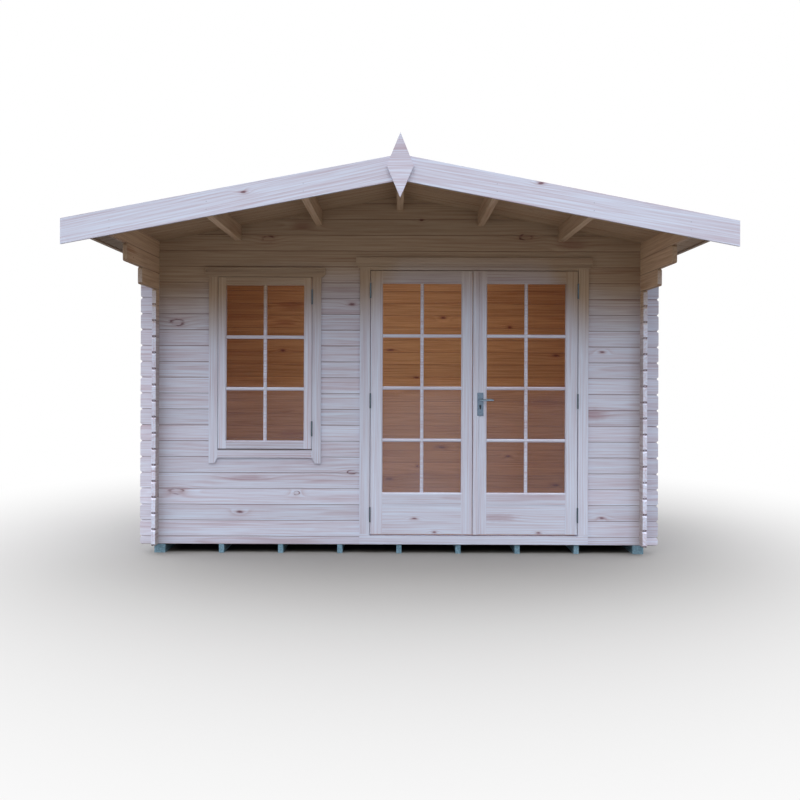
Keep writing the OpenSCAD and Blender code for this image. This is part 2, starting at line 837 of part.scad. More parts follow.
module right_door_stiles() color(wood)
    difference() {
        leaf_stiles(right_x0, right_leaf_w, lock_stile_w, hinge_stile_w);
        translate([handle_x, face_y - 1, lever_z]) rotate([-90, 0, 0])
            cylinder(r = spindle_r + 1, h = leaf_t + 2);
    }

module right_door_rails() color(wood) leaf_rails(right_x0 + lock_stile_w);

module right_door_panel() color(wood) leaf_panel(right_x0 + lock_stile_w);

module right_door_glass() color(pane) leaf_glass(right_x0 + lock_stile_w);

// Closing strip on the right leaf's face beside the meeting line, notched round the handle plate
module closing_strip() color(wood)
    difference() {
        translate([right_x0, face_y, leaf_z]) linear_extrude(leaf_h)
            polygon([
                [0, 0], [0, strip_cut - strip_t], [strip_cut, -strip_t],
                [strip_w - strip_cut, -strip_t], [strip_w, strip_cut - strip_t], [strip_w, 0]
            ]);
        box([handle_x - plate_w / 2 - fit, face_y - strip_t - 1, plate_z - plate_h / 2 - fit],
            [handle_x + plate_w / 2, face_y + 1, plate_z + plate_h / 2 + fit]);
    }

// Outline of a lock cylinder with its round part above, its middle at the origin
module lock_outline() {
    slot_r = lock_r * 0.6;
    translate([0, lock_h / 2 - lock_r]) circle(r = lock_r);
    translate([-slot_r, slot_r - lock_h / 2]) square([2 * slot_r, lock_h - lock_r - slot_r]);
    translate([0, slot_r - lock_h / 2]) circle(r = slot_r);
}

// Plates on both faces of the lock stile, with a lock cylinder below the lever
module handle_plates() color(steel) {
    half_plate = plate_t / 2;
    lock_front = -plate_t - lock_up;
    key_z = lock_z + lock_h / 2 - 2 * lock_r;
    for (side = [0, 1])
        translate([handle_x, face_y + leaf_t / 2, 0]) mirror([0, side, 0]) translate([0, -leaf_t / 2, 0])
            difference() {
                union() {
                    box([-plate_w / 2, -plate_t, plate_z - plate_h / 2],
                        [plate_w / 2, 0, plate_z + plate_h / 2]);
                    translate([0, 0, lock_z]) along_y(lock_front, -half_plate) lock_outline();
                }
                box([-key_w / 2, lock_front - 1, key_z], [key_w / 2, -half_plate, key_z + 1.6 * lock_r]);
                translate([0, -plate_t - 1, lever_z]) rotate([-90, 0, 0])
                    cylinder(r = spindle_r + 0.1, h = plate_t + 2);
            }
}

// Levers on both faces, joined by the spindle through the stile
module door_lever() color(steel)
    translate([handle_x, face_y + leaf_t / 2, lever_z]) {
        reach = leaf_t / 2 + plate_t + lever_out;
        rotate([90, 0, 0]) cylinder(r = spindle_r, h = 2 * reach, center = true);
        for (side = [0, 1])
            mirror([0, side, 0]) {
                translate([0, -reach, 0]) rotate([-90, 0, 0])
                    cylinder(r = lever_r, h = lever_out - 1);
                translate([0, -reach, 0]) sphere(r = lever_r);
                translate([0, -reach, 0]) rotate([0, 90, 0])
                    cylinder(r = lever_r, h = lever_l - lever_r);
                translate([lever_l - lever_r, -reach, 0]) sphere(r = lever_r);
            }
    }

floor_bearers();
floor_deck();
front_sill_log();
front_wall_left_logs();
front_wall_right_logs();
front_gable_logs();
back_wall_logs();
left_wall_logs();
right_wall_logs();
ridge_purlin();
left_purlins();
right_purlins();
left_roof_deck();
right_roof_deck();
left_roof_felt();
right_roof_felt();
ridge_felt();
left_eaves_board();
right_eaves_board();
front_left_bargeboard();
front_right_bargeboard();
rear_left_bargeboard();
rear_right_bargeboard();
finial();
window_frame();
window_sash_stiles();
window_sash_rails();
window_glass();
window_trim();
window_hinges();
door_frame();
door_stops();
door_trim();
frame_hinges();
left_door_stiles();
left_door_rails();
left_door_panel();
left_door_glass();
left_door_hinges();
right_door_stiles();
right_door_rails();
right_door_panel();
right_door_glass();
right_door_hinges();
closing_strip();
handle_plates();
door_lever();
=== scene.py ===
"""Log cabin: timber, glass, felt and steel, with boards, bars and fixings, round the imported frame."""

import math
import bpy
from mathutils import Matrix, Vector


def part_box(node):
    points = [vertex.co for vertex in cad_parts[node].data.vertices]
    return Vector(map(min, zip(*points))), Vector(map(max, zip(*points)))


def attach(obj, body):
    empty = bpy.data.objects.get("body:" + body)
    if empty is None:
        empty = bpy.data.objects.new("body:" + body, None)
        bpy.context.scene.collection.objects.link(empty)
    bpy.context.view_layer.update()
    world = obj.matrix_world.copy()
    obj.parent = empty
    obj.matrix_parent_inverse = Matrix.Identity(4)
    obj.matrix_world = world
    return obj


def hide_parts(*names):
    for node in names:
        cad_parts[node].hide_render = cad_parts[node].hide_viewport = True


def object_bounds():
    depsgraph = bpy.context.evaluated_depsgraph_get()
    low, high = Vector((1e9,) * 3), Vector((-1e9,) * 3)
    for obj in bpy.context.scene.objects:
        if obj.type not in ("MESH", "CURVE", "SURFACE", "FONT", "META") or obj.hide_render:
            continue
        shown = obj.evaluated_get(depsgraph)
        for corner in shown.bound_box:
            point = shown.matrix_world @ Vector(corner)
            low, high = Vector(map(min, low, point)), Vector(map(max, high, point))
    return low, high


bl_info = {
    "name": "Log Cabin",
    "version": (1, 0, 0),
    "blender": (4, 5, 0),
    "location": "View3D > Sidebar > Cabin",
    "description": "Finishes a small log cabin with timber, felt, glass and steel",
    "category": "Object",
}

from types import SimpleNamespace

import bmesh
import bpy
from bpy.props import FloatProperty, FloatVectorProperty, IntProperty, PointerProperty
from mathutils import Matrix

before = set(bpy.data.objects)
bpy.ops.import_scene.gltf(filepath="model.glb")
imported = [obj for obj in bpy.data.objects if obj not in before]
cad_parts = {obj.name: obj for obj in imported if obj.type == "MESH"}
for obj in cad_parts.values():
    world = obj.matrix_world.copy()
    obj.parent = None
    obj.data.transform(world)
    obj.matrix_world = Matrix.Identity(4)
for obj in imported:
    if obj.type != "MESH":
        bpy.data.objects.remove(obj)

CAD_BOX = [list(corner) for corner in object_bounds()]
MM = 0.001

# Play between pieces that lie on one another, and places that the frame gives
SEAT = 0.2 * MM
DECK_LOW, DECK_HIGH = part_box("right_roof_deck")
FELT_LOW, FELT_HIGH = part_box("right_roof_felt")
RIDGE_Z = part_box("ridge_purlin")[1].z + SEAT
SLOPE = (RIDGE_Z - DECK_LOW.z) / DECK_HIGH.x
PITCH = math.atan(SLOPE)
DECK_V = DECK_HIGH.z - RIDGE_Z
FELT_V = FELT_HIGH.z - RIDGE_Z - DECK_V
FRONT_LOW, FRONT_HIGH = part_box("front_wall_left_logs")
SIDE_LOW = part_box("left_wall_logs")[0]
BACK_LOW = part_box("back_wall_logs")[0]
LOG_T = FRONT_HIGH.y - FRONT_LOW.y
WALL_OUT = -SIDE_LOW.x
WALL_MID = WALL_OUT - LOG_T / 2
WALL_IN = WALL_OUT - LOG_T
WALL_MID_Y = -FRONT_LOW.y - LOG_T / 2
WALL_IN_Y = -FRONT_LOW.y - LOG_T
CANOPY_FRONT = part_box("front_left_bargeboard")[1].y + 0.5 * MM
TRIM_FACE = (0, -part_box("door_trim")[0].y, 0)
STOP_LOW, STOP_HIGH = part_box("door_stops")
DOOR_X = (STOP_LOW.x + STOP_HIGH.x) / 2
SIDES = ((-1, "left"), (1, "right"))

# Short names for the nodes and sockets that come up most
MATH = "ShaderNodeMath"
VECTOR = "ShaderNodeVectorMath"
RANGE = "ShaderNodeMapRange"
SPLIT = "ShaderNodeSeparateXYZ"
JOIN = "ShaderNodeCombineXYZ"
NOISE = "ShaderNodeTexNoise"
CHANCE = "ShaderNodeTexWhiteNoise"
COORDS = "ShaderNodeTexCoord"
MAPPING = "ShaderNodeMapping"
BUMP = "ShaderNodeBump"
PRINCIPLED = "ShaderNodeBsdfPrincipled"
MIX = "ShaderNodeMix"
COLOUR_A, COLOUR_B, COLOUR_OUT = 6, 7, 2
VECTOR_A, VECTOR_B, VECTOR_OUT = 4, 5, 1

# Turns that bring the grain of a piece to the X axis
ALONG_X = (0.0, 0.0, 0.0)
ALONG_Y = (0.0, 0.0, -math.pi / 2)
ALONG_Z = (0.0, math.pi / 2, 0.0)

# Figure of the pine, in repeats to a metre along the grain, into the board and across it. Real fibres are
# 1 or 2 mm wide: they are drawn 8 mm wide and 0.45 m long so that they show.
FIBRES = (2.2, 60, 125)
BANDS = (0.55, 2, 14)
RING_RIPPLE = (1.4, 5, 8)
HEART_DRIFT = (0.7, 0, 0)
KNOT_EDGE = (22, 55, 55)
KNOT_BARK = (11, 34, 34)
# How far the figure slides from board to board, the heart wanders, and a ring ripples and swells at a knot
BOARD_SLIDE = 31.0
HEART_DEPTH = 80 * MM
RIPPLE_REACH = 22 * MM
KNOT_SWELL = 20 * MM
# What late wood, fibres and bands add to the grain, and how much of it shows in the painted canopy shade
LATE_PART, FIBRE_PART, BAND_PART = 0.42, 0.7, 0.34
CALM = 0.55
# Share of a ring after which its late wood ends, and how soon a knot's swelling ends round it
LATE_END = 0.78
SWELL_FADE = 0.22
# Tones of the darkest and the palest board, and roughness of clear and of figured wood
BOARD_TONES = (0.93, 1.04)
ROUGHNESS = (0.58, 0.78)
# Bevels that face up and the stepped logs' inner faces catch more light
BEVEL_CATCH = (0.5, 0.65, 1.0, 1.15)
CORBEL_CATCH = 0.46

# Kinds of knot: a dark core, an eye with a rim of bark, and a stain
KNOT_CORE, KNOT_EYE, KNOT_STAIN = 0, 1, 2
NO_KNOT = 0.1 * MM
FAR_FROM_KNOTS = 9.0
KNOT_REACH = 2.4
# A wild knot may come once in each run of a board, and is longer than it is tall
KNOT_RUN = 0.6
KNOT_STRETCH = 2.2
KNOT_LUCK = 0.8

# Above a line across the front wall, the timber takes a warm brown that is painted shade of the canopy
# and of the warm light that bounces under it. The line moves over these stretches, each given as where it
# starts, where it ends, and how much higher the timber counts there.
BEHIND_WALL = (FRONT_LOW.y, FRONT_LOW.y + 0.6, 0.0, -1.2)
TO_THE_SIDES = (0.9, 1.5, -0.03, 0.11)
PAST_THE_SIDES = (WALL_OUT - 0.9 * MM, WALL_OUT - 0.1 * MM, 0.0, -0.5)
FROM_THE_DOORS = (0.5, 0.75, -0.06, 0.12)
END_FACES = (-0.6, -0.9, 0.0, -0.22)
# In the corners beside the stepped logs the wall takes that painted warm shade too, and so do the
# stepped logs' inner faces; the log ends past the left wall take a little of it as painted light
LEFT_CORNER = (0.05 - WALL_IN, -WALL_IN, 0.0, 0.15)
RIGHT_CORNER = (WALL_IN - 0.08, WALL_IN, 0.0, 0.3)
LOG_FACE_WARMTH = 0.55
LEFT_END_WARMTH = 0.2

# Dust on the glass, which is also a painted reflection, over stretches given in the same way: up the panes
# twice, then away from the middle
DUST_AND_REFLECTION_RISE = (0.3, 1.1, 0.105, 0.074)
DUST_AND_REFLECTION_STEP = (1.08, 1.2, 1.0, 0.22)
DUST_AND_REFLECTION_ASIDE = (0.4, 0.8, 1.0, 0.62)


def linear(code):
    """Linear colour of an sRGB hex code."""
    channels = [int(code[k:k + 2], 16) / 255 for k in (1, 3, 5)]
    return tuple(c / 12.92 if c <= 0.04045 else ((c + 0.055) / 1.055) ** 2.4 for c in channels)


def opaque(colour):
    """Colour with a full alpha, as a shader's socket takes it."""
    return (*colour, 1.0)


def under(x):
    """Height of the roof boards' underside at x."""
    return RIDGE_Z - SLOPE * abs(x)


def tint(name, code, description):
    """Colour property with a default given as an sRGB hex code."""
    return FloatVectorProperty(
        name=name, description=description, subtype="COLOR", size=3, min=0, max=1, default=linear(code)
    )


def length(name, default, description):
    """Length property in metres."""
    return FloatProperty(name=name, description=description, default=default, unit="LENGTH", precision=4)


class CabinTimber(bpy.types.PropertyGroup):
    """Colours and grain of the cabin's pine."""

    washed: tint("Washed pine", "#d9e0f0", "Bleached outer face of the pine")
    washed_streak: tint("Washed streak", "#c6bac6", "Grain of the bleached pine")
    # Painted shade: the warm brown of the canopy's shade and of the light that bounces under it
    canopy_shade: tint("Sheltered pine", "#b39b80", "Pine under the canopy, which keeps its warm tone")
    canopy_shade_streak: tint("Sheltered streak", "#805b40", "Grain of the sheltered pine")
    indoor: tint("Indoor pine", "#d4a067", "Inner face of the walls")
    indoor_streak: tint("Indoor streak", "#ae7846", "Grain of the inner face")
    blush: tint("Blush", "#e3cbc8", "How the late wood of some boards tints the rest")
    knot: tint("Knot", "#976d70", "How the core and rim of a knot tint the wood")
    knot_heart: tint("Knot heart", "#e6d6d6", "How the stain of a knot tints the wood")
    # The joint colour also darkens bevels that face down, as painted shade
    joint: tint("Joint", "#6e4a3e", "Edge of a log in the joint between courses")
    course: length("Log course", 110 * MM, "Height of one log course")
    ring: length("Ring width", 19 * MM, "Growth ring, drawn coarser than the real 4 mm so that it shows")
    # Heights of the painted canopy shade on the front wall and on the stepped log ends
    shade_start: length("Shelter start", 1.50, "Height where the canopy starts to shelter the front wall")
    shade_full: length("Shelter end", 2.02, "Height above which the front wall keeps its warm tone")
    end_shade_height: length("Shelter of ends", 1.925, "Height above which the stepped log ends stay warm")
    trim_board: length("Trim board", 620 * MM, "Width of the plank that trims and stiles are cut from")


class CabinRoof(bpy.types.PropertyGroup):
    """Boards and felt of the roof, and the boards of the floor."""

    boards: IntProperty(name="Roof boards", description="Boards along each slope", default=37, min=10)
    floor_boards: IntProperty(name="Floor boards", description="Boards across the floor", default=19, min=5)
    board_gap: length("Board gap", 0.8 * MM, "Gap between boards")
    board_bevel: length("Board bevel", 4 * MM, "Bevel along a roof board's edges")
    floor_bevel: length("Floor bevel", 1.5 * MM, "Bevel along a floor board's edges")
    stray: length("Board stray", 0.3 * MM, "How far a roof board may lie above or below its neighbours")
    lap: length("Felt lap", 75 * MM, "Overlap of one felt sheet on the next")
    felt_wave: length("Felt wave", 0.7 * MM, "Height of the waves in the felt")
    felt: tint("Felt", "#4a4c4f", "Charcoal mineral felt")
    felt_grit: tint("Felt grit", "#74767a", "Pale stone grit on the felt")
    clout_pitch: length("Clout pitch", 150 * MM, "Distance between felt nails")
    clout_inset: length("Clout inset", 20 * MM, "Distance of the felt nails from a sheet's edge")
    treated: tint("Treated timber", "#84a4b4", "Pressure-treated bearers")
    treated_streak: tint("Treated streak", "#5a7886", "Grain of the treated bearers")


class CabinJoinery(bpy.types.PropertyGroup):
    """Glazing bars, glass and fittings."""

    bar: length("Bar width", 23 * MM, "Width of a glazing bar")
    bar_depth: length("Bar depth", 11 * MM, "Depth of a glazing bar in front of the glass")
    bite: length("Glass edge", 7.7 * MM, "Part of the glass that is hidden in its groove")
    window_rows: IntProperty(name="Window rows", description="Panes up the window", default=3, min=1)
    door_rows: IntProperty(name="Door rows", description="Panes up a door", default=4, min=1)
    # The dust also stands for a painted reflection on the glass
    dust: tint("Dust", "#e4d5dd", "Film of dust on the clear glass")
    steel: tint("Steel", "#6e7f92", "Satin steel of the handle")
    zinc: tint("Zinc", "#5a6770", "Zinc plating of the hinges")
    lever: tint("Lever", "#93a9bb", "Polished steel of the lever")
    lock: tint("Lock", "#2b3036", "Blackened face of the lock cylinder")
    lock_drop: length("Lock drop", 20 * MM, "Height of the handle plate's middle above the lock's")
    nail: length("Nail head", 4 * MM, "Width of a nail head")
    screw: length("Screw head", 7 * MM, "Width of a screw head")
    screw_inset: length("Screw inset", 12 * MM, "Distance of a screw from the end of the handle plate")
    clout: length("Clout head", 11 * MM, "Width of a felt nail's head")


class CabinStage(bpy.types.PropertyGroup):
    """Camera, floor and light."""

    eye: FloatVectorProperty(
        name="Camera place", description="Place of the camera", subtype="TRANSLATION", unit="LENGTH",
        default=(0.0, -8.375, 1.247),
    )
    lens: FloatProperty(name="Lens", description="Focal length in millimetres", default=47.25)
    shift: FloatVectorProperty(
        name="Shift", description="Camera shift across and up", size=2, default=(0.0006, -0.0332)
    )
    roll: FloatProperty(name="Roll", description="Tilt of the camera", default=-0.0038, unit="ROTATION")
    zenith: FloatProperty(name="Zenith", description="Light of the sky overhead", default=4.5)
    horizon: FloatProperty(name="Horizon", description="Light of the sky at the horizon", default=0.67)
    lean: FloatVectorProperty(
        name="Lean", description="How much brighter the sky is on each side", size=3,
        default=(-0.26, -0.2, 0.0),
    )
    sky: tint("Sky light", "#f4f8ff", "Colour of the light")
    room_lamp: FloatProperty(
        name="Room lamp", description="Power of the lamp in the room", default=9.4, unit="POWER"
    )
    lamp_size: FloatVectorProperty(
        name="Lamp size", description="Width and depth of the lamp", size=2, unit="LENGTH", default=(1.6, 1.0)
    )
    lamp_place: FloatVectorProperty(
        name="Lamp place", description="Middle of the lamp, just under the roof", subtype="TRANSLATION",
        unit="LENGTH", default=(0.05, -0.45, 2.05),
    )
    lamp_tilt: FloatProperty(
        name="Lamp tilt", description="How far the lamp looks to the back wall", default=math.radians(28),
        unit="ROTATION",
    )
    floor: tint("Floor", "#9a9793", "Pale floor as it is seen")
    floor_bounce: tint("Floor bounce", "#75726f", "Floor as it throws light back on the cabin")
    floor_radius: length("Floor radius", 40.0, "Radius of the round floor")
    fade_start: length("Fade start", 2.4, "Distance where the floor starts to fade to white")
    fade_end: length("Fade end", 6.8, "Distance where the floor is white")
    fade_across: FloatProperty(
        name="Fade across", description="How much sooner the floor fades to the sides", default=1.45
    )
    shade: FloatProperty(name="Shade", description="What the shade under the cabin leaves", default=0.3)
    shade_in: length("Shade in", 120 * MM, "How far inside the walls the shade is full")
    shade_out: length("Shade out", 20 * MM, "How far past the walls' inner faces the shade ends")


def add(tree, kind, inputs=(), out=0, **settings):
    """Adds a node with its settings, sets or links its inputs, and returns one of its outputs.

    inputs is a list in the order of the node's sockets, or a dict by their names or numbers.
    """
    made = tree.nodes.new(kind)
    for key, value in settings.items():
        setattr(made, key, value)
    for key, value in inputs.items() if isinstance(inputs, dict) else enumerate(inputs):
        if isinstance(value, bpy.types.NodeSocket):
            tree.links.new(value, made.inputs[key])
        else:
            made.inputs[key].default_value = value
    return made.outputs[out] if len(made.outputs) else made


def new_group(name, kind, inputs, outputs):
    """Node group with named sockets, given with its input node's outputs and its output node."""
    tree = bpy.data.node_groups.new(name, kind)
    for label, socket in inputs.items():
        tree.interface.new_socket(label, in_out="INPUT", socket_type="NodeSocket" + socket)
    for label, socket in outputs.items():
        tree.interface.new_socket(label, in_out="OUTPUT", socket_type="NodeSocket" + socket)
    return tree, tree.nodes.new("NodeGroupInput").outputs, tree.nodes.new("NodeGroupOutput")


def new_material(name):
    """Empty material, with its node tree and the material output's surface socket."""
    material = bpy.data.materials.new(name)
    material.use_nodes = True
    tree = material.node_tree
    tree.nodes.clear()
    return material, tree, tree.nodes.new("ShaderNodeOutputMaterial").inputs["Surface"]


def board_draw(tree, given):
    """Splits a face into boards, each with its own draw of heart, start and tone."""
    along, depth, across = add(tree, SPLIT, [given["Vector"]]).node.outputs
    rows = add(tree, MATH, [across, given["Board"]], operation="DIVIDE")
    row = add(tree, MATH, [rows], operation="FLOOR")
    share = add(tree, MATH, [rows], operation="FRACT")
    cell = add(tree, JOIN, [row, given["Seed"]])
    draw = add(tree, CHANCE, {"Vector": cell}, "Color", noise_dimensions="2D")
    side, start, tone = add(tree, SPLIT, [draw]).node.outputs
    moved = add(tree, VECTOR, [draw, (BOARD_SLIDE, 0, 0), given["Vector"]], operation="MULTIPLY_ADD")
    return SimpleNamespace(
        along=along, depth=depth, row=row, share=share, side=side, start=start, tone=tone, moved=moved
    )


def knot_distance(tree, given, board):
    """Distance from the nearest knot, in knot sizes: a knot that is given or a wild one."""
    runs = add(tree, MATH, [board.along, 1 / KNOT_RUN, board.start], operation="MULTIPLY_ADD")
    run = add(tree, MATH, [runs], operation="FLOOR")
    spot = add(tree, JOIN, [run, board.row, given["Seed"]])
    luck = add(tree, CHANCE, {"Vector": spot}, "Color", noise_dimensions="3D")
    luck_x, luck_z, luck_size = add(tree, SPLIT, [luck]).node.outputs
    size = add(tree, RANGE, [luck_size, KNOT_LUCK, 1.0, NO_KNOT, given["Wild"]])
    run_part = add(tree, MATH, [runs], operation="FRACT")
    knot_x = add(tree, RANGE, [luck_x, 0.0, 1.0, -0.25, -0.75])
    knot_z = add(tree, RANGE, [luck_z, 0.0, 1.0, -0.3, -0.7])
    off_x = add(tree, MATH, [run_part, knot_x])
    off_z = add(tree, MATH, [board.share, knot_z])
    gap_x = add(tree, MATH, [off_x, KNOT_RUN / KNOT_STRETCH], operation="MULTIPLY")
    gap_z = add(tree, MATH, [off_z, given["Board"]], operation="MULTIPLY")
    gap = add(tree, JOIN, [gap_x, gap_z])
    span = add(tree, VECTOR, [gap], "Value", operation="LENGTH")
    wild = add(tree, MATH, [span, size], operation="DIVIDE")
    return add(tree, MATH, [wild, given["Knots"]], operation="MINIMUM")


def growth_rings(tree, timber, given, board, knot):
    """Late wood of the growth rings, which swell round a knot, and how near the knot is."""
    drift = add(tree, VECTOR, [board.moved, HEART_DRIFT], operation="MULTIPLY")
    wander = add(tree, NOISE, {"Vector": drift, "Scale": 1.0, "Detail": 1.0})
    heart = add(tree, MATH, [wander, HEART_DEPTH, board.depth], operation="MULTIPLY_ADD")
    middle = add(tree, MATH, [board.share, board.side], operation="SUBTRACT")
    off = add(tree, MATH, [middle, given["Board"]], operation="MULTIPLY")
    reach = add(tree, JOIN, [off, heart])
    radius = add(tree, VECTOR, [reach], "Value", operation="LENGTH")
    uneven = add(tree, VECTOR, [board.moved, RING_RIPPLE], operation="MULTIPLY")
    ripple = add(tree, NOISE, {"Vector": uneven, "Scale": 1.0, "Detail": 3.0})
    rippled = add(tree, MATH, [ripple, RIPPLE_REACH, radius], operation="MULTIPLY_ADD")
    square = add(tree, MATH, [knot, knot], operation="MULTIPLY")
    fading = add(tree, MATH, [square, -SWELL_FADE], operation="MULTIPLY")
    near = add(tree, MATH, [fading], operation="EXPONENT")
    swollen = add(tree, MATH, [near, KNOT_SWELL, rippled], operation="MULTIPLY_ADD")
    rings = add(tree, MATH, [swollen, timber.ring], operation="DIVIDE")
    growth = add(tree, MATH, [rings], operation="FRACT")
    dense = add(tree, MATH, [growth, growth], operation="MULTIPLY")
    stop = add(tree, RANGE, [growth, LATE_END, 1.0, 1.0, 0.0], interpolation_type="SMOOTHSTEP")
    late = add(tree, MATH, [dense, stop], operation="MULTIPLY")
    return late, near


def grain_streaks(tree, given, board, late):
    """Strength of the grain, from late wood, fibres and broad soft bands, and the bands by themselves."""
    thread = add(tree, VECTOR, [board.moved, FIBRES], operation="MULTIPLY")
    fibre = add(tree, NOISE, {"Vector": thread, "Scale": 1.0, "Detail": 5.0, "Roughness": 0.6})
    fine = add(tree, RANGE, [fibre, 0.42, 0.66, 0.0, FIBRE_PART])
    wide = add(tree, VECTOR, [board.moved, BANDS], operation="MULTIPLY")
    band = add(tree, NOISE, {"Vector": wide, "Scale": 1.0, "Detail": 2.0})
    broad = add(tree, RANGE, [band, 0.42, 0.7])
    grain = add(tree, MATH, [late, LATE_PART, fine], operation="MULTIPLY_ADD")
    drawn = add(tree, MATH, [broad, BAND_PART, grain], operation="MULTIPLY_ADD")
    return add(tree, MATH, [drawn, given["Streaks"]], operation="MULTIPLY"), band


def shelter_field(tree, timber, given):
    """How deep the timber is in painted canopy shade, whether indoors or on a stepped log, how it faces."""
    place = add(tree, COORDS, out="Object")
    place_x, place_y, place_z = add(tree, SPLIT, [place]).node.outputs
    facing = add(tree, "ShaderNodeNewGeometry", out="Normal")
    face_x, face_y, face_z = add(tree, SPLIT, [facing]).node.outputs
    reach_x = add(tree, MATH, [place_x], operation="ABSOLUTE")
    reach_y = add(tree, MATH, [place_y], operation="ABSOLUTE")
    in_x = add(tree, MATH, [reach_x, WALL_MID], operation="LESS_THAN")
    in_y = add(tree, MATH, [reach_y, WALL_MID_Y], operation="LESS_THAN")
    in_room = add(tree, MATH, [in_x, in_y], operation="MULTIPLY")
    indoors = add(tree, MATH, [in_room, given["Room"]], operation="MULTIPLY")
    in_front = add(tree, MATH, [place_y, FRONT_LOW.y - 1 * MM], operation="LESS_THAN")
    far_out = add(tree, MATH, [reach_x, WALL_IN - 1 * MM], operation="GREATER_THAN")

    # Height of the timber against the line of the painted canopy shade
    behind = add(tree, RANGE, [place_y, *BEHIND_WALL])
    beside = add(tree, RANGE, [reach_x, *TO_THE_SIDES])
    beyond = add(tree, RANGE, [reach_x, *PAST_THE_SIDES])
    end_face = add(tree, RANGE, [face_y, *END_FACES])
    end_low = add(tree, MATH, [place_z, timber.end_shade_height], operation="LESS_THAN")
    end_out = add(tree, MATH, [end_face, far_out], operation="MULTIPLY")
    end_off = add(tree, MATH, [end_out, end_low], operation="MULTIPLY")
    outside = add(tree, MATH, [beyond, end_off], operation="MINIMUM")
    door_off = add(tree, MATH, [place_x, DOOR_X], operation="SUBTRACT")
    door_gap = add(tree, MATH, [door_off], operation="ABSOLUTE")
    nearer = add(tree, RANGE, [door_gap, *FROM_THE_DOORS])
    proud = add(tree, MATH, [in_front, nearer, beside], operation="MULTIPLY_ADD")
    lift_in = add(tree, MATH, [behind, proud])
    lift = add(tree, MATH, [lift_in, outside])
    height = add(tree, MATH, [place_z, lift])
    canopy = add(tree, RANGE, [height, timber.shade_start, timber.shade_full],
                 interpolation_type="SMOOTHSTEP")
    covered = add(tree, MATH, [place_y, CANOPY_FRONT], operation="GREATER_THAN")
    kept = add(tree, MATH, [canopy, covered], operation="MULTIPLY")

    # Painted warm shade in the corners of the wall and on the inner faces of the stepped logs, and painted
    # light on the log ends past the left wall
    left_corner_shade = add(tree, RANGE, [place_x, *LEFT_CORNER])
    right_corner_shade = add(tree, RANGE, [place_x, *RIGHT_CORNER])
    corner = add(tree, MATH, [left_corner_shade, right_corner_shade], operation="MAXIMUM")
    on_wall = add(tree, MATH, [1.0, in_front], operation="SUBTRACT")
    corner_wall = add(tree, MATH, [corner, on_wall], operation="MULTIPLY")
    sideways = add(tree, MATH, [face_x], operation="ABSOLUTE")
    log_side = add(tree, MATH, [sideways, far_out], operation="MULTIPLY")
    stepped_log_face = add(tree, MATH, [log_side, in_front], operation="MULTIPLY")
    side_shade = add(tree, MATH, [stepped_log_face, LOG_FACE_WARMTH, corner_wall], operation="MULTIPLY_ADD")
    side_shade_inside = add(tree, MATH, [side_shade, in_x], operation="MULTIPLY")
    past_left = add(tree, MATH, [place_x, -WALL_OUT - 0.2 * MM], operation="LESS_THAN")
    wall_off = add(tree, MATH, [place_y, -WALL_MID_Y], operation="SUBTRACT")
    wall_gap = add(tree, MATH, [wall_off], operation="ABSOLUTE")
    in_wall = add(tree, MATH, [wall_gap, LOG_T], operation="LESS_THAN")
    left_end = add(tree, MATH, [past_left, in_wall], operation="MULTIPLY")
    left_end_light = add(tree, MATH, [left_end, LEFT_END_WARMTH], operation="MULTIPLY")
    shade_and_end_light = add(tree, MATH, [side_shade_inside, left_end_light], operation="MAXIMUM")
    # The painted shade colour comes from the canopy, the corners and sides, and the warmth a material is
    # given
    warm = add(tree, MATH, [shade_and_end_light, given["Warmth"]], operation="MAXIMUM")
    shelter = add(tree, MATH, [kept, warm], operation="MAXIMUM")
    corbel = add(tree, MATH, [stepped_log_face, kept], operation="MULTIPLY")
    return SimpleNamespace(shelter=shelter, indoors=indoors, corbel=corbel, face_z=face_z)


def pine_colour(tree, timber, given, board, spot, figure, red_area, late):
    """Colour of clear wood: pale to dark by the figure, reddened in places, in the tone of its board."""
    # The washed colour goes toward the painted canopy shade colour, then toward the indoor one
    pale = add(tree, MIX, {
        0: spot.shelter, COLOUR_A: opaque(timber.washed), COLOUR_B: opaque(timber.canopy_shade),
    }, COLOUR_OUT, data_type="RGBA")
    pale = add(tree, MIX, {
        0: spot.indoors, COLOUR_A: pale, COLOUR_B: opaque(timber.indoor),
    }, COLOUR_OUT, data_type="RGBA")
    dark = add(tree, MIX, {
        0: spot.shelter, COLOUR_A: opaque(timber.washed_streak), COLOUR_B: opaque(timber.canopy_shade_streak),
    }, COLOUR_OUT, data_type="RGBA")
    dark = add(tree, MIX, {
        0: spot.indoors, COLOUR_A: dark, COLOUR_B: opaque(timber.indoor_streak),
    }, COLOUR_OUT, data_type="RGBA")
    plain = add(tree, MIX, {0: figure, COLOUR_A: pale, COLOUR_B: dark}, COLOUR_OUT, data_type="RGBA")
    red_late = add(tree, MATH, [red_area, late], operation="MULTIPLY")
    red_part = add(tree, MATH, [red_late, given["Streaks"]], operation="MULTIPLY", use_clamp=True)
    red_wood = add(tree, VECTOR, [plain, timber.blush], operation="MULTIPLY")
    wood = add(tree, MIX, {0: red_part, COLOUR_A: plain, COLOUR_B: red_wood}, COLOUR_OUT, data_type="RGBA")
    shade = add(tree, RANGE, [board.tone, 0.0, 1.0, *BOARD_TONES])
    catch = add(tree, RANGE, [spot.face_z, *BEVEL_CATCH])
    corbel_lit = add(tree, MATH, [spot.corbel, CORBEL_CATCH, catch], operation="MULTIPLY_ADD")
    lit = add(tree, MATH, [shade, corbel_lit], operation="MULTIPLY")
    board_tone = add(tree, MATH, [lit, given["Tone"]], operation="MULTIPLY")
    return add(tree, VECTOR, {0: wood, "Scale": board_tone}, operation="SCALE")


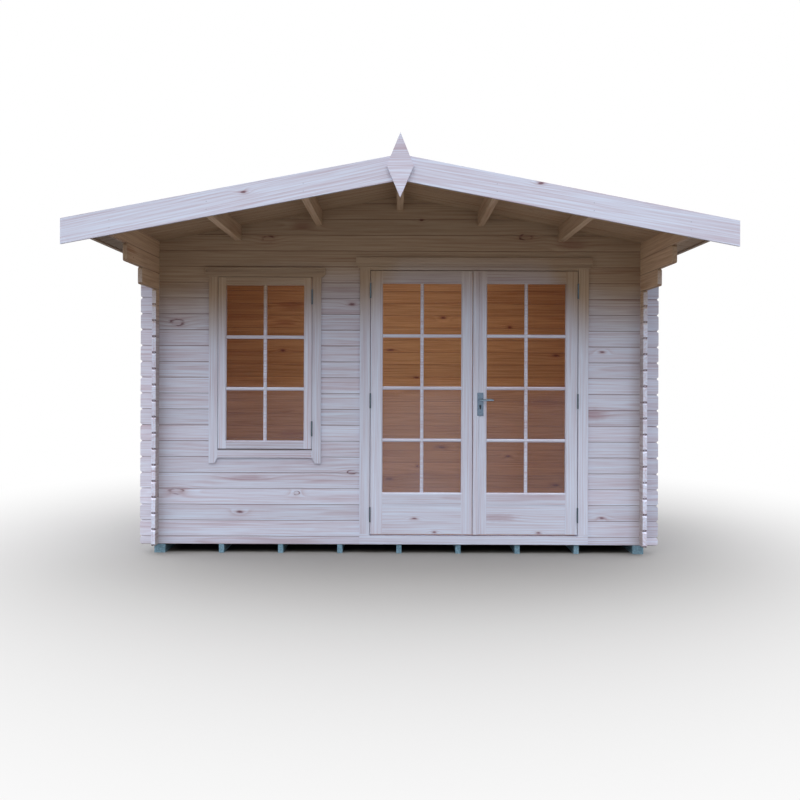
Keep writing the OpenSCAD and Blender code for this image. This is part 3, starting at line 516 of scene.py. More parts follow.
def knot_marks(tree, timber, given, board, knot, wood):
    """Stained oval of a knot, with a dark core or a rim of bark that the wood has partly grown over."""
    # Distances in knot sizes: where each mark ends, and where it is full
    rough = 0.9
    stain_edge, stain_full = 2.1, 1.0
    core_edge, core_full = 1.3, 0.75
    rim_at, rim_edge, rim_full = 1.25, 0.28, 0.06
    crumple = add(tree, VECTOR, [board.moved, KNOT_EDGE], operation="MULTIPLY")
    rough_edge = add(tree, NOISE, {"Vector": crumple, "Scale": 1.0, "Detail": 3.0})
    bent = add(tree, MATH, [rough_edge, rough, knot], operation="MULTIPLY_ADD")
    is_eye = add(tree, MATH, [given["Kind"], KNOT_EYE, 0.1], operation="COMPARE")
    most = add(tree, RANGE, [is_eye, 0.0, 1.0, 0.85, 0.25])
    stained = add(tree, RANGE, [bent, stain_edge, stain_full, 0.0, most])
    heart_wood = add(tree, VECTOR, [wood, timber.knot_heart], operation="MULTIPLY")
    with_heart = add(tree, MIX, {
        0: stained, COLOUR_A: wood, COLOUR_B: heart_wood,
    }, COLOUR_OUT, data_type="RGBA")
    rim_gap = add(tree, MATH, [bent, rim_at], operation="SUBTRACT")
    rim_off = add(tree, MATH, [rim_gap], operation="ABSOLUTE")
    rim = add(tree, RANGE, [rim_off, rim_edge, rim_full, 0.0, 0.9])
    around = add(tree, VECTOR, [board.moved, KNOT_BARK], operation="MULTIPLY")
    grown = add(tree, NOISE, {"Vector": around, "Scale": 1.0, "Detail": 1.0})
    arc = add(tree, RANGE, [grown, 0.44, 0.6, 0.05, 1.0])
    rim_arc = add(tree, MATH, [rim, arc], operation="MULTIPLY")
    rim_shown = add(tree, MATH, [rim_arc, is_eye], operation="MULTIPLY")
    core = add(tree, RANGE, [bent, core_edge, core_full, 0.0, 0.95])
    has_core = add(tree, MATH, [given["Kind"], (KNOT_CORE + KNOT_EYE) / 2], operation="LESS_THAN")
    core_shown = add(tree, MATH, [core, has_core], operation="MULTIPLY")
    marks = add(tree, MATH, [rim_shown, core_shown], operation="MAXIMUM")
    dark_wood = add(tree, VECTOR, [wood, timber.knot], operation="MULTIPLY")
    return add(tree, MIX, {0: marks, COLOUR_A: with_heart, COLOUR_B: dark_wood}, COLOUR_OUT, data_type="RGBA")


def joint_stain_and_shade(tree, given, board, spot):
    """Joints and, as painted shade, bevels that face down are darker; less so in painted shade or where
    swept.
    """
    seam_edge, seam_full = 3.5 * MM, 1.2 * MM
    # The normal of a 45 degree bevel that faces down is -0.7 in Z
    bevel_down, bevel_edge, bevel_full = 0.7, 0.2, 0.08
    off = add(tree, MATH, [board.share, 0.5], operation="SUBTRACT")
    from_middle = add(tree, MATH, [off], operation="ABSOLUTE")
    edge_share = add(tree, MATH, [0.5, from_middle], operation="SUBTRACT")
    edge = add(tree, MATH, [edge_share, given["Board"]], operation="MULTIPLY")
    seam = add(tree, RANGE, [edge, seam_edge, seam_full])
    # Painted shade: bevels that face down take the joint colour
    bevel_turn = add(tree, MATH, [spot.face_z, bevel_down])
    bevel_off = add(tree, MATH, [bevel_turn], operation="ABSOLUTE")
    bevel = add(tree, RANGE, [bevel_off, bevel_edge, bevel_full])
    stain = add(tree, MATH, [seam, bevel], operation="MAXIMUM")
    # Less of it where the painted canopy shade already darkens the wood, and indoors where it is swept
    shade_eased = add(tree, RANGE, [spot.shelter, 0.0, 1.0, 1.0, 0.5])
    swept = add(tree, RANGE, [spot.indoors, 0.0, 1.0, 1.0, 0.55])
    kept = add(tree, MATH, [shade_eased, swept], operation="MULTIPLY")
    joint = add(tree, MATH, [given["Joints"], kept], operation="MULTIPLY")
    return add(tree, MATH, [stain, joint], operation="MULTIPLY")


def pine_group(timber):
    """Plain-sawn pine: growth rings round a heart that wanders under each board, fibres, knots and joints.

    The vector runs along the grain in X, into the board in Y and across its face in Z.
    """
    numbers = ("Board", "Seed", "Knots", "Joints", "Warmth", "Tone", "Room", "Kind", "Streaks", "Wild")
    tree, given, result = new_group(
        "plain_sawn_pine", "ShaderNodeTree", {"Vector": "Vector", **dict.fromkeys(numbers, "Float")},
        {"Color": "Color", "Roughness": "Float", "Height": "Float"},
    )
    board = board_draw(tree, given)
    knot = knot_distance(tree, given, board)
    late, near = growth_rings(tree, timber, given, board, knot)
    streaks, band = grain_streaks(tree, given, board, late)
    spot = shelter_field(tree, timber, given)
    # Less figure shows in the painted canopy shade
    calm = add(tree, RANGE, [spot.shelter, 0.0, 1.0, 1.0, CALM])
    figure = add(tree, MATH, [streaks, calm], operation="MULTIPLY")
    flush = add(tree, RANGE, [band, 0.52, 0.68, 0.0, 0.6])
    red_area = add(tree, MATH, [flush, near], operation="MAXIMUM")
    wood = pine_colour(tree, timber, given, board, spot, figure, red_area, late)
    knotted = knot_marks(tree, timber, given, board, knot, wood)
    # Dark joints, and painted shade on bevels that face down
    stain = joint_stain_and_shade(tree, given, board, spot)
    colour = add(tree, MIX, {
        0: stain, COLOUR_A: knotted, COLOUR_B: opaque(timber.joint),
    }, COLOUR_OUT, data_type="RGBA")
    tree.links.new(colour, result.inputs["Color"])
    tree.links.new(add(tree, RANGE, [figure, 0.0, 1.0, *ROUGHNESS]), result.inputs["Roughness"])
    tree.links.new(add(tree, MATH, [1.0, figure], operation="SUBTRACT"), result.inputs["Height"])
    return tree


def stood_on_end(tree, place, grain, shift, upright):
    """Grain that runs up where a piece stands; upright is as pine() has it."""
    middle, reach, bottom, top = upright
    x, _, z = add(tree, SPLIT, [place]).node.outputs
    off = add(tree, MATH, [x, middle], operation="SUBTRACT")
    away = add(tree, MATH, [off], operation="ABSOLUTE")
    outer = add(tree, MATH, [away, reach], operation="GREATER_THAN")
    lower = add(tree, MATH, [z, top], operation="LESS_THAN")
    upper = add(tree, MATH, [z, bottom], operation="GREATER_THAN")
    between = add(tree, MATH, [lower, upper], operation="MULTIPLY")
    stood = add(tree, MATH, [outer, between], operation="MULTIPLY")
    standing = add(tree, MAPPING, {"Vector": place, "Location": shift, "Rotation": ALONG_Z})
    return add(tree, MIX, {0: stood, VECTOR_A: grain, VECTOR_B: standing}, VECTOR_OUT, data_type="VECTOR")


def nearest_knot(tree, place, knots):
    """Distance from the nearest of the given knots, in knot sizes, and its kind."""
    nearest, kind = FAR_FROM_KNOTS, float(KNOT_CORE)
    for x, z, half_long, half_tall, sort in knots:
        gap = add(tree, VECTOR, [place, (x, 0, z)], operation="SUBTRACT")
        oval = add(tree, VECTOR, [gap, (1 / half_long, 0, 1 / half_tall)], operation="MULTIPLY")
        span = add(tree, VECTOR, [oval], "Value", operation="LENGTH")
        nearest = add(tree, MATH, [span, nearest], operation="MINIMUM")
        close = add(tree, MATH, [span, KNOT_REACH], operation="LESS_THAN")
        kind = add(tree, MATH, [close, float(sort), kind], operation="MULTIPLY_ADD")
    return nearest, kind


def pine(name, turn=ALONG_X, shift=(0, 0, 0), board=None, joints=0.0, seed=1.0, warmth=0.0, tone=1.0,
         knots=(), upright=None, dim=None, room=1.0, streaks=1.0, gloss=0.35, outward_tone=None, wild=13 * MM):
    """Planed pine, unfinished: a dull surface with soft grain that is raised a little by weather.

    turn and shift bring the grain to the group's axes. upright is (x, reach, bottom, top): pieces further
    than reach from x, between bottom and top, are stood on end, so their grain runs up. dim is (start,
    end, least): the tone falls to least of itself between those distances from the middle. room is 0 for
    joinery, which has one finish inside and out. warmth mixes in the painted canopy shade colour.
    outward_tone is the tone of faces that look outwards, which take none of that painted shade, where the
    others keep warmth and tone. wild is the half height of the largest wild knot.
    """
    if name in bpy.data.materials:
        return bpy.data.materials[name]
    timber = bpy.context.scene.cabin_timber
    group = bpy.data.node_groups.get("plain_sawn_pine") or pine_group(timber)
    material, tree, surface = new_material(name)
    place = add(tree, COORDS, out="Object")
    grain = add(tree, MAPPING, {"Vector": place, "Location": shift, "Rotation": turn})
    if upright:
        grain = stood_on_end(tree, place, grain, shift, upright)
    if dim:
        start, end, least = dim
        away = add(tree, MATH, [add(tree, SPLIT, [place])], operation="ABSOLUTE")
        tone = add(tree, RANGE, [away, start, end, tone, tone * least])
    # Faces that look outwards take none of the painted shade colour and have their own tone
    if outward_tone:
        facing = add(tree, "ShaderNodeNewGeometry", out="Normal")
        outward = add(tree, SPLIT, [add(tree, VECTOR, [facing, place], operation="MULTIPLY")])
        warmth = add(tree, RANGE, [outward, 0.9, 1.5, warmth, 0.0])
        tone = add(tree, RANGE, [outward, 0.9, 1.5, tone, outward_tone])
    nearest, kind = nearest_knot(tree, place, knots)
    figure = add(tree, "ShaderNodeGroup", {
        "Vector": grain, "Board": board or timber.trim_board, "Seed": seed, "Knots": nearest,
        "Joints": joints, "Warmth": warmth, "Tone": tone, "Room": room, "Kind": kind,
        "Streaks": streaks, "Wild": wild,
    }, node_tree=group).node.outputs
    relief = add(tree, BUMP, {"Strength": 0.35, "Distance": 0.6 * MM, "Height": figure["Height"]})
    finish = add(tree, PRINCIPLED, {
        "Base Color": figure["Color"], "Roughness": figure["Roughness"], "Normal": relief,
        "IOR": 1.5, "Specular IOR Level": gloss,
    })
    tree.links.new(finish, surface)
    return material


def treated_timber():
    """Pressure-treated softwood: a green-grey stain that sits in sawn grain, quite dull."""
    roof = bpy.context.scene.cabin_roof
    material, tree, surface = new_material("treated_timber")
    place = add(tree, COORDS, out="Object")
    # Saw marks 11 mm apart, drawn coarser than the real ones so that they show
    sawn = add(tree, VECTOR, [place, (90, 3, 90)], operation="MULTIPLY")
    mark = add(tree, NOISE, {"Vector": sawn, "Scale": 1.0, "Detail": 4.0})
    streak = add(tree, RANGE, [mark, 0.35, 0.7])
    colour = add(tree, MIX, {
        0: streak, COLOUR_A: opaque(roof.treated), COLOUR_B: opaque(roof.treated_streak),
    }, COLOUR_OUT, data_type="RGBA")
    relief = add(tree, BUMP, {"Strength": 0.5, "Distance": 1 * MM, "Height": streak})
    finish = add(tree, PRINCIPLED, {"Base Color": colour, "Roughness": 0.85, "Normal": relief})
    tree.links.new(finish, surface)
    return material


def mineral_felt():
    """Mineral felt: bitumen sheet covered with pressed stone grit, rough, with paler worn patches."""
    roof = bpy.context.scene.cabin_roof
    material, tree, surface = new_material("mineral_felt")
    place = add(tree, COORDS, out="Object")
    # The grit is 1.5 mm on the real sheet and drawn at 5 mm so that it shows; patches are 200 mm wide
    grit = add(tree, "ShaderNodeTexVoronoi", {"Vector": place, "Scale": 1 / (5 * MM)}, "Color")
    speck = add(tree, RANGE, [add(tree, SPLIT, [grit]), 0.25, 1.0, 0.0, 0.75])
    patch = add(tree, NOISE, {"Vector": place, "Scale": 1 / (200 * MM), "Detail": 5.0})
    worn = add(tree, RANGE, [patch, 0.35, 0.7, 0.9, 1.08])
    mixed = add(tree, MIX, {
        0: speck, COLOUR_A: opaque(roof.felt), COLOUR_B: opaque(roof.felt_grit),
    }, COLOUR_OUT, data_type="RGBA")
    colour = add(tree, VECTOR, {0: mixed, "Scale": worn}, operation="SCALE")
    relief = add(tree, BUMP, {"Strength": 0.7, "Distance": 1 * MM, "Height": speck})
    finish = add(tree, PRINCIPLED, {"Base Color": colour, "Roughness": 0.92, "Normal": relief})
    tree.links.new(finish, surface)
    return material


def float_glass():
    """Clear float glass: a hard bright gloss, with a thin film of dust that lets the room show through.

    The film is also a painted reflection, pale on the lower panes.
    """
    joinery = bpy.context.scene.cabin_joinery
    material, tree, surface = new_material("float_glass")
    place = add(tree, COORDS, out="Object")
    x, _, height = add(tree, SPLIT, [place]).node.outputs
    # Dust, and with it the painted reflection, lies thicker on the lower panes and near the middle of the
    # front
    low = add(tree, RANGE, [height, *DUST_AND_REFLECTION_RISE])
    thinned_above = add(tree, RANGE, [height, *DUST_AND_REFLECTION_STEP])
    away = add(tree, MATH, [x], operation="ABSOLUTE")
    beside = add(tree, RANGE, [away, *DUST_AND_REFLECTION_ASIDE])
    by_height = add(tree, MATH, [low, thinned_above], operation="MULTIPLY")
    by_place = add(tree, MATH, [by_height, beside], operation="MULTIPLY")
    # The film is uneven in patches a third of a metre wide
    film = add(tree, NOISE, {"Vector": place, "Scale": 3.0, "Detail": 3.0})
    uneven = add(tree, RANGE, [film, 0.3, 0.7, 0.8, 1.2])
    dust = add(tree, MATH, [by_place, uneven], operation="MULTIPLY")
    finish = add(tree, PRINCIPLED, {
        "Base Color": opaque(joinery.dust), "Roughness": 0.04, "IOR": 1.5, "Alpha": dust,
    })
    tree.links.new(finish, surface)
    return material


# Brush lines to a metre along X, Y and Z: about 1 mm apart, and drawn out along the lay
BRUSHED_UP = (900, 900, 60)
BRUSHED_ACROSS = (60, 900, 900)


def steel(name, colour, roughness, lay):
    """Plated or satin steel: brushed along its lay, so its gloss is drawn out, with a little tarnish."""
    if name in bpy.data.materials:
        return bpy.data.materials[name]
    material, tree, surface = new_material(name)
    place = add(tree, COORDS, out="Object")
    brushed = add(tree, VECTOR, [place, lay], operation="MULTIPLY")
    line = add(tree, NOISE, {"Vector": brushed, "Scale": 1.0, "Detail": 3.0})
    # Tarnish comes in spots about 17 mm wide
    tarnish = add(tree, NOISE, {"Vector": place, "Scale": 60.0, "Detail": 2.0})
    dim = add(tree, RANGE, [tarnish, 0.3, 0.75, 1.05, 0.8])
    shade = add(tree, VECTOR, {0: colour, "Scale": dim}, operation="SCALE")
    rough = add(tree, RANGE, [line, 0.3, 0.7, roughness - 0.08, roughness + 0.1])
    relief = add(tree, BUMP, {"Strength": 0.2, "Distance": 0.1 * MM, "Height": line})
    finish = add(tree, PRINCIPLED, {
        "Base Color": shade, "Metallic": 1.0, "Roughness": rough, "Normal": relief,
    })
    tree.links.new(finish, surface)
    return material


def zinc_plate():
    """Zinc plating of hinges and nails: grey and half dull."""
    return steel("zinc_plate", bpy.context.scene.cabin_joinery.zinc, 0.4, BRUSHED_UP)


def dress(material, *nodes):
    """Gives CAD nodes a material."""
    for name in nodes:
        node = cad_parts[name]
        node.data.materials.clear()
        node.data.materials.append(material)


def row_tree():
    """Node tree that lays copies of one piece in a straight row, each a little off its place."""
    known = bpy.data.node_groups.get("row_of_pieces")
    if known:
        return known
    tree, given, result = new_group(
        "row_of_pieces", "GeometryNodeTree",
        {"Piece": "Object", "Count": "Int", "Start": "Vector", "Step": "Vector", "Stray": "Vector",
         "Seed": "Int", "Material": "Material"},
        {"Geometry": "Geometry"},
    )
    line = add(tree, "GeometryNodeMeshLine", {
        "Count": given["Count"], "Start Location": given["Start"], "Offset": given["Step"],
    }, mode="OFFSET")
    piece = add(tree, "GeometryNodeObjectInfo", {"Object": given["Piece"]}, "Geometry")
    copies = add(tree, "GeometryNodeInstanceOnPoints", {"Points": line, "Instance": piece})
    back = add(tree, VECTOR, {0: given["Stray"], "Scale": -1.0}, operation="SCALE")
    stray = add(tree, "FunctionNodeRandomValue", {0: back, 1: given["Stray"], "Seed": given["Seed"]},
                data_type="FLOAT_VECTOR")
    placed = add(tree, "GeometryNodeTranslateInstances", {"Instances": copies, "Translation": stray})
    solid = add(tree, "GeometryNodeRealizeInstances", {"Geometry": placed})
    faced = add(tree, "GeometryNodeSetMaterial", {"Geometry": solid, "Material": given["Material"]})
    tree.links.new(faced, result.inputs["Geometry"])
    return tree


def fixing_tree():
    """Node tree that sets a fixing on each point of a mesh, turned by the point's own attribute."""
    known = bpy.data.node_groups.get("fixings_on_points")
    if known:
        return known
    tree, given, result = new_group(
        "fixings_on_points", "GeometryNodeTree",
        {"Geometry": "Geometry", "Piece": "Object", "Material": "Material"},
        {"Geometry": "Geometry"},
    )
    turn = add(tree, "GeometryNodeInputNamedAttribute", {"Name": "turn"}, data_type="FLOAT_VECTOR")
    turned = add(tree, "FunctionNodeEulerToRotation", [turn])
    piece = add(tree, "GeometryNodeObjectInfo", {"Object": given["Piece"]}, "Geometry")
    copies = add(tree, "GeometryNodeInstanceOnPoints", {
        "Points": given["Geometry"], "Instance": piece, "Rotation": turned,
    })
    solid = add(tree, "GeometryNodeRealizeInstances", {"Geometry": copies})
    faced = add(tree, "GeometryNodeSetMaterial", {"Geometry": solid, "Material": given["Material"]})
    tree.links.new(faced, result.inputs["Geometry"])
    return tree


def run_tree(tree, mesh, unit, **inputs):
    """Plain mesh that a node tree makes from a mesh of points and one unit piece."""
    unit_piece = bpy.data.objects.new("unit", unit)
    carrier = bpy.data.objects.new("carrier", mesh)
    for each in (unit_piece, carrier):
        bpy.context.scene.collection.objects.link(each)
    rule = carrier.modifiers.new("rule", "NODES")
    rule.node_group = tree
    inputs["Piece"] = unit_piece
    for item in tree.interface.items_tree:
        if item.in_out == "INPUT" and item.name in inputs:
            rule[item.identifier] = inputs[item.name]
    graph = bpy.context.evaluated_depsgraph_get()
    made = bpy.data.meshes.new_from_object(carrier.evaluated_get(graph), depsgraph=graph)
    if not made.vertices:
        raise RuntimeError(f"{tree.name} made nothing")
    for each in (carrier, unit_piece):
        bpy.data.objects.remove(each)
    return made


def row_of(unit, count, start, step, material, stray=0.0, seed=1):
    """Mesh of count copies of a unit in a row, each up to stray above or below its place."""
    return run_tree(
        row_tree(), bpy.data.meshes.new("row"), unit, Count=count, Start=start, Step=step,
        Stray=(0.0, 0.0, stray), Seed=seed, Material=material,
    )


def add_piece(name, mesh, body, slot, *replaced):
    """Adds a finished mesh as a piece that rides on a body and may stand for CAD nodes."""
    mesh.name = name
    piece = bpy.data.objects.new(name, mesh)
    bpy.context.scene.collection.objects.link(piece)
    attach(piece, body)
    if replaced:
        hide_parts(*replaced)
    return piece


def skin(shape, loops):
    """Closed skin over loops of points, with a cap on the first and the last."""
    rings = [[shape.verts.new(point) for point in loop] for loop in loops]
    for one, two in zip(rings, rings[1:]):
        for k in range(len(one)):
            nxt = (k + 1) % len(one)
            shape.faces.new((one[k], one[nxt], two[nxt], two[k]))
    shape.faces.new(rings[0][::-1])
    shape.faces.new(rings[-1])


def closed_mesh(name, shape, material=None):
    """Mesh of a bmesh shape with its faces turned outwards."""
    bmesh.ops.recalc_face_normals(shape, faces=shape.faces)
    mesh = bpy.data.meshes.new(name)
    shape.to_mesh(mesh)
    shape.free()
    if material:
        mesh.materials.append(material)
    return mesh


def joined(name, meshes, material):
    """One mesh from several."""
    shape = bmesh.new()
    for mesh in meshes:
        shape.from_mesh(mesh)
    for face in shape.faces:
        face.material_index = 0
    made = bpy.data.meshes.new(name)
    shape.to_mesh(made)
    shape.free()
    made.materials.append(material)
    return made


def other_face(mesh, middle_y):
    """Copy of a mesh on the other face of a leaf or sash whose middle is at middle_y."""
    copy = mesh.copy()
    copy.transform(Matrix.Translation((0, 2 * middle_y, 0)) @ Matrix.Scale(-1, 4, (0, 1, 0)))
    copy.flip_normals()
    return copy


def nail_head(width):
    """Low domed nail head that faces up, its foot just under the surface."""
    shape = bmesh.new()
    profile = ((0.5, -0.06), (0.5, 0.03), (0.4, 0.1), (0.18, 0.13))
    sides = 10
    turns = [2 * math.pi * k / sides for k in range(sides)]
    skin(shape, [
        [(width * reach * math.cos(a), width * reach * math.sin(a), width * rise) for a in turns]
        for reach, rise in profile
    ])
    return closed_mesh("nail_head", shape)


def set_fixings(name, points, unit, material, body, slot):
    """Piece with one fixing at each point, given as (place, turn)."""
    mesh = bpy.data.meshes.new("points")
    mesh.from_pydata([place for place, _ in points], [], [])
    turns = mesh.attributes.new("turn", "FLOAT_VECTOR", "POINT")
    for k, (_, turn) in enumerate(points):
        turns.data[k].vector = turn
    made = run_tree(fixing_tree(), mesh, unit, Material=material)
    return add_piece(name, made, body, slot)


FACING_FRONT = (math.pi / 2, 0.0, 0.0)
FACING_BACK = (-math.pi / 2, 0.0, 0.0)

# Knots that show on the front wall: x, z, half length, half height, kind
FRONT_KNOTS = (
    (-1.543, 1.594, 0.062, 0.026, KNOT_EYE), (-1.543, 0.424, 0.060, 0.022, KNOT_EYE),
    (-0.711, 0.415, 0.024, 0.015, KNOT_EYE), (-1.106, 0.283, 0.034, 0.012, KNOT_CORE),
    (-0.329, 1.725, 0.036, 0.012, KNOT_CORE), (-0.329, 0.561, 0.040, 0.014, KNOT_EYE),
    (1.404, 1.400, 0.026, 0.010, KNOT_CORE), (1.404, 0.249, 0.026, 0.010, KNOT_CORE),
    (1.335, 0.970, 0.080, 0.034, KNOT_STAIN), (-1.057, 0.517, 0.120, 0.014, KNOT_STAIN),
)
GABLE_KNOTS = (
    (-0.910, 2.175, 0.055, 0.026, KNOT_EYE), (-0.676, 2.269, 0.060, 0.020, KNOT_STAIN),
    (0.874, 2.195, 0.052, 0.024, KNOT_EYE), (1.187, 2.144, 0.075, 0.028, KNOT_STAIN),
    (0.150, 2.310, 0.018, 0.009, KNOT_CORE),
)
PANEL_KNOTS = (
    (0.246, 0.150, 0.020, 0.009, KNOT_CORE), (0.965, 0.147, 0.020, 0.008, KNOT_CORE),
    (0.105, 0.245, 0.026, 0.008, KNOT_CORE), (0.690, 0.252, 0.100, 0.022, KNOT_STAIN),
)
BARGE_KNOTS = ((-0.906, 2.290, 0.026, 0.010, KNOT_CORE), (0.814, 2.348, 0.030, 0.010, KNOT_CORE))
# Knots that show through the glass on the inner face of the back wall
BACK_KNOTS = (
    (0.389, 1.748, 0.034, 0.013, KNOT_CORE), (-0.081, 1.457, 0.044, 0.014, KNOT_CORE),
    (0.150, 1.212, 0.036, 0.013, KNOT_CORE), (0.989, 1.667, 0.028, 0.016, KNOT_CORE),
    (1.409, 1.412, 0.048, 0.014, KNOT_CORE), (0.378, 0.583, 0.046, 0.014, KNOT_CORE),
    (0.162, 0.414, 0.022, 0.013, KNOT_CORE), (-0.090, 0.297, 0.050, 0.014, KNOT_CORE),
    (0.980, 0.505, 0.028, 0.013, KNOT_CORE), (1.409, 0.247, 0.044, 0.014, KNOT_CORE),
    (-0.959, 1.862, 0.090, 0.028, KNOT_STAIN), (-1.019, 1.703, 0.070, 0.020, KNOT_STAIN),
    (-1.049, 1.451, 0.036, 0.014, KNOT_CORE), (-0.962, 0.702, 0.100, 0.032, KNOT_STAIN),
    (1.290, 0.985, 0.150, 0.036, KNOT_STAIN),
)


class CABIN_OT_dress_walls(bpy.types.Operator):
    """Give the wall logs their pine"""

    bl_idname = "cabin.dress_walls"
    bl_label = "Wall logs"

    def execute(self, context):
        course = context.scene.cabin_timber.course
        front_shift = (0, -FRONT_LOW.y, -FRONT_LOW.z)
        back_shift = (0, -BACK_LOW.y, -FRONT_LOW.z)
        side_shift = (0, -SIDE_LOW.x, -SIDE_LOW.z)
        past_wall = (WALL_OUT - 0.3 * MM, WALL_OUT + 0.5 * MM)
        # Painted light: the log ends past the left wall are lighter, and those past the right wall darker
        left_front, right_front = [
            pine(f"{word}_front_log_pine", ALONG_X, front_shift, course, 0.56, 3.0, knots=FRONT_KNOTS,
                 streaks=1.1, wild=NO_KNOT, dim=(*past_wall, painted_end_light))
            for word, painted_end_light in (("left", 1.14), ("right", 0.85))
        ]
        dress(left_front, "front_sill_log", "front_wall_left_logs")
        dress(right_front, "front_wall_right_logs")
        dress(pine("gable_log_pine", ALONG_X, front_shift, course, 0.7, 5.0, knots=GABLE_KNOTS, wild=NO_KNOT),
              "front_gable_logs")
        dress(pine("back_log_pine", ALONG_X, back_shift, course, 0.6, 7.0, knots=BACK_KNOTS, wild=NO_KNOT),
              "back_wall_logs")
        for side, word in SIDES:
            side_tone = 1.07 + 0.01 * side
            dress(pine(f"{word}_log_pine", ALONG_Y, side_shift, course, 0.7, 12.0 + side, tone=side_tone),
                  f"{word}_wall_logs")
        return {"FINISHED"}


class CABIN_OT_dress_roof_timber(bpy.types.Operator):
    """Give purlins, bargeboards, eaves boards and finial their pine, and nail the bargeboards"""

    bl_idname = "cabin.dress_roof_timber"
    bl_label = "Roof timber"

    def execute(self, context):
        face = (0, -CAD_BOX[0][1], 0)
        plank = (0, 0, 0.1)
        grain_cant = 0.025
        # Painted shade: purlins and eaves boards take the full painted canopy shade colour, and the eaves
        # boards are darker too except on faces that look outwards
        dress(pine("purlin_pine", ALONG_Y, plank, seed=17.0, warmth=1.0, tone=1.22),
              "ridge_purlin", "left_purlins", "right_purlins")
        dress(pine("eaves_pine", ALONG_Y, plank, seed=19.0, warmth=1.0, tone=0.6, gloss=0.1, outward_tone=0.9),
              "left_eaves_board", "right_eaves_board")
        dress(pine("finial_pine", ALONG_X, (0.4, *face[1:]), seed=23.0, tone=0.87, streaks=1.5), "finial")
        for side, word in SIDES:
            slope_turn = (0.0, side * -PITCH + grain_cant, 0.0)
            timber = pine(f"{word}_bargeboard_pine", slope_turn, face, seed=27.0 + side,
                          tone=0.86 + 0.02 * side, knots=BARGE_KNOTS, streaks=1.05 - 0.05 * side)
            dress(timber, f"front_{word}_bargeboard", f"rear_{word}_bargeboard")
        # The purlins of a slope lie one and two pitches from the ridge, and a third pitch is near the eaves
        purlin_low, purlin_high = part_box("right_purlins")
        pitch = (purlin_low.x + purlin_high.x) / 3
        board_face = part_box("front_left_bargeboard")[0].y
        points = []
        for x in [k * pitch for k in (-3, -2, -1, 1, 2, 3)]:
            for drop in (25 * MM, 70 * MM):
                points.append(((x, board_face, under(x) - drop), FACING_FRONT))
        nail = nail_head(context.scene.cabin_joinery.nail)
        set_fixings("bargeboard_nails", points, nail, zinc_plate(), "cabin", "hinge_steel")
        return {"FINISHED"}


def board_profile(width, thick, bevel):
    """Section of a board: flat on one face, with bevels that make a V joint on the other."""
    return (
        (0.0, bevel), (bevel, 0.0), (width - bevel, 0.0), (width, bevel), (width, thick), (0.0, thick),
    )


class CABIN_OT_lay_roof_boards(bpy.types.Operator):
    """Lay the roof boards from ridge to eaves"""

    bl_idname = "cabin.lay_roof_boards"
    bl_label = "Roof boards"

    def execute(self, context):
        roof = context.scene.cabin_roof
        pitch = (DECK_HIGH.y - DECK_LOW.y) / roof.boards
        profile = board_profile(pitch - roof.board_gap, DECK_V, roof.board_bevel)
        shift = (0, RIDGE_Z * math.cos(PITCH), -DECK_LOW.y)
        ends = (DECK_LOW.x, DECK_HIGH.x)
        start = (0.0, DECK_LOW.y, 0.0)
        step = (0.0, pitch, 0.0)
        for side, word in SIDES:
            # The roof boards take the full painted canopy shade colour
            timber = pine(
                f"{word}_roof_board_pine", (math.pi / 2, 0.0, side * -PITCH), shift, pitch, 0.5, 31.0 + side,
                warmth=1.0, tone=1.05 + 0.06 * side, gloss=0.05,
                dim=(WALL_OUT, WALL_OUT + 30 * MM, 0.56 + 0.12 * side),
            )
            shape = bmesh.new()
            skin(shape, [[(side * x, y, under(x) + z) for y, z in profile] for x in ends])
            boards = row_of(closed_mesh("board", shape), roof.boards, start, step, timber, roof.stray, seed=4)
            add_piece(f"{word}_roof_boards", boards, "cabin", "roof_timber", f"{word}_roof_deck")
        return {"FINISHED"}


class CABIN_OT_lay_floor(bpy.types.Operator):
    """Lay the floor boards and stain the bearers"""

    bl_idname = "cabin.lay_floor"
    bl_label = "Floor and bearers"

    def execute(self, context):
        roof = context.scene.cabin_roof
        low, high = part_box("floor_deck")
        pitch = (high.y - low.y) / roof.floor_boards
        timber = pine("floor_board_pine", (math.pi / 2, 0.0, 0.0), (0, high.z, -low.y), pitch, 0.5, 37.0)
        profile = board_profile(pitch - roof.board_gap, high.z - low.z, roof.floor_bevel)
        shape = bmesh.new()
        skin(shape, [[(x, y, high.z - z) for y, z in profile] for x in (low.x, high.x)])
        boards = row_of(closed_mesh("board", shape), roof.floor_boards, (0.0, low.y, 0.0), (0.0, pitch, 0.0),
                        timber)
        add_piece("floor_boards", boards, "cabin", "floor_boards", "floor_deck")
        dress(treated_timber(), "floor_bearers")
        return {"FINISHED"}


def felt_sheet(shape, side, outer, inner, lifts, wave):
    """One sheet of felt along the roof, from outer to inner x, lifted by lifts(x) above the boards."""
    across = 16
    stations = 73
    loops = []
    for s in range(stations):
        y = FELT_LOW.y + (FELT_HIGH.y - FELT_LOW.y) * s / (stations - 1)
        top, bottom = [], []
        for k in range(across + 1):
            x = outer + (inner - outer) * k / across
            broad_wave = math.sin(3.1 * y + 5 * x) * math.sin(7.3 * x + 1.7 * y)
            cross_wave = 0.5 * math.sin(11 * y + side)
            ripple = wave * (broad_wave + cross_wave)
            z = under(x) + DECK_V + SEAT + lifts(x) + max(ripple, 0.0)
            bottom.append((side * x, y, z))
            top.append((side * x, y, z + FELT_V - SEAT))
        loops.append(bottom + top[::-1])
    skin(shape, loops)


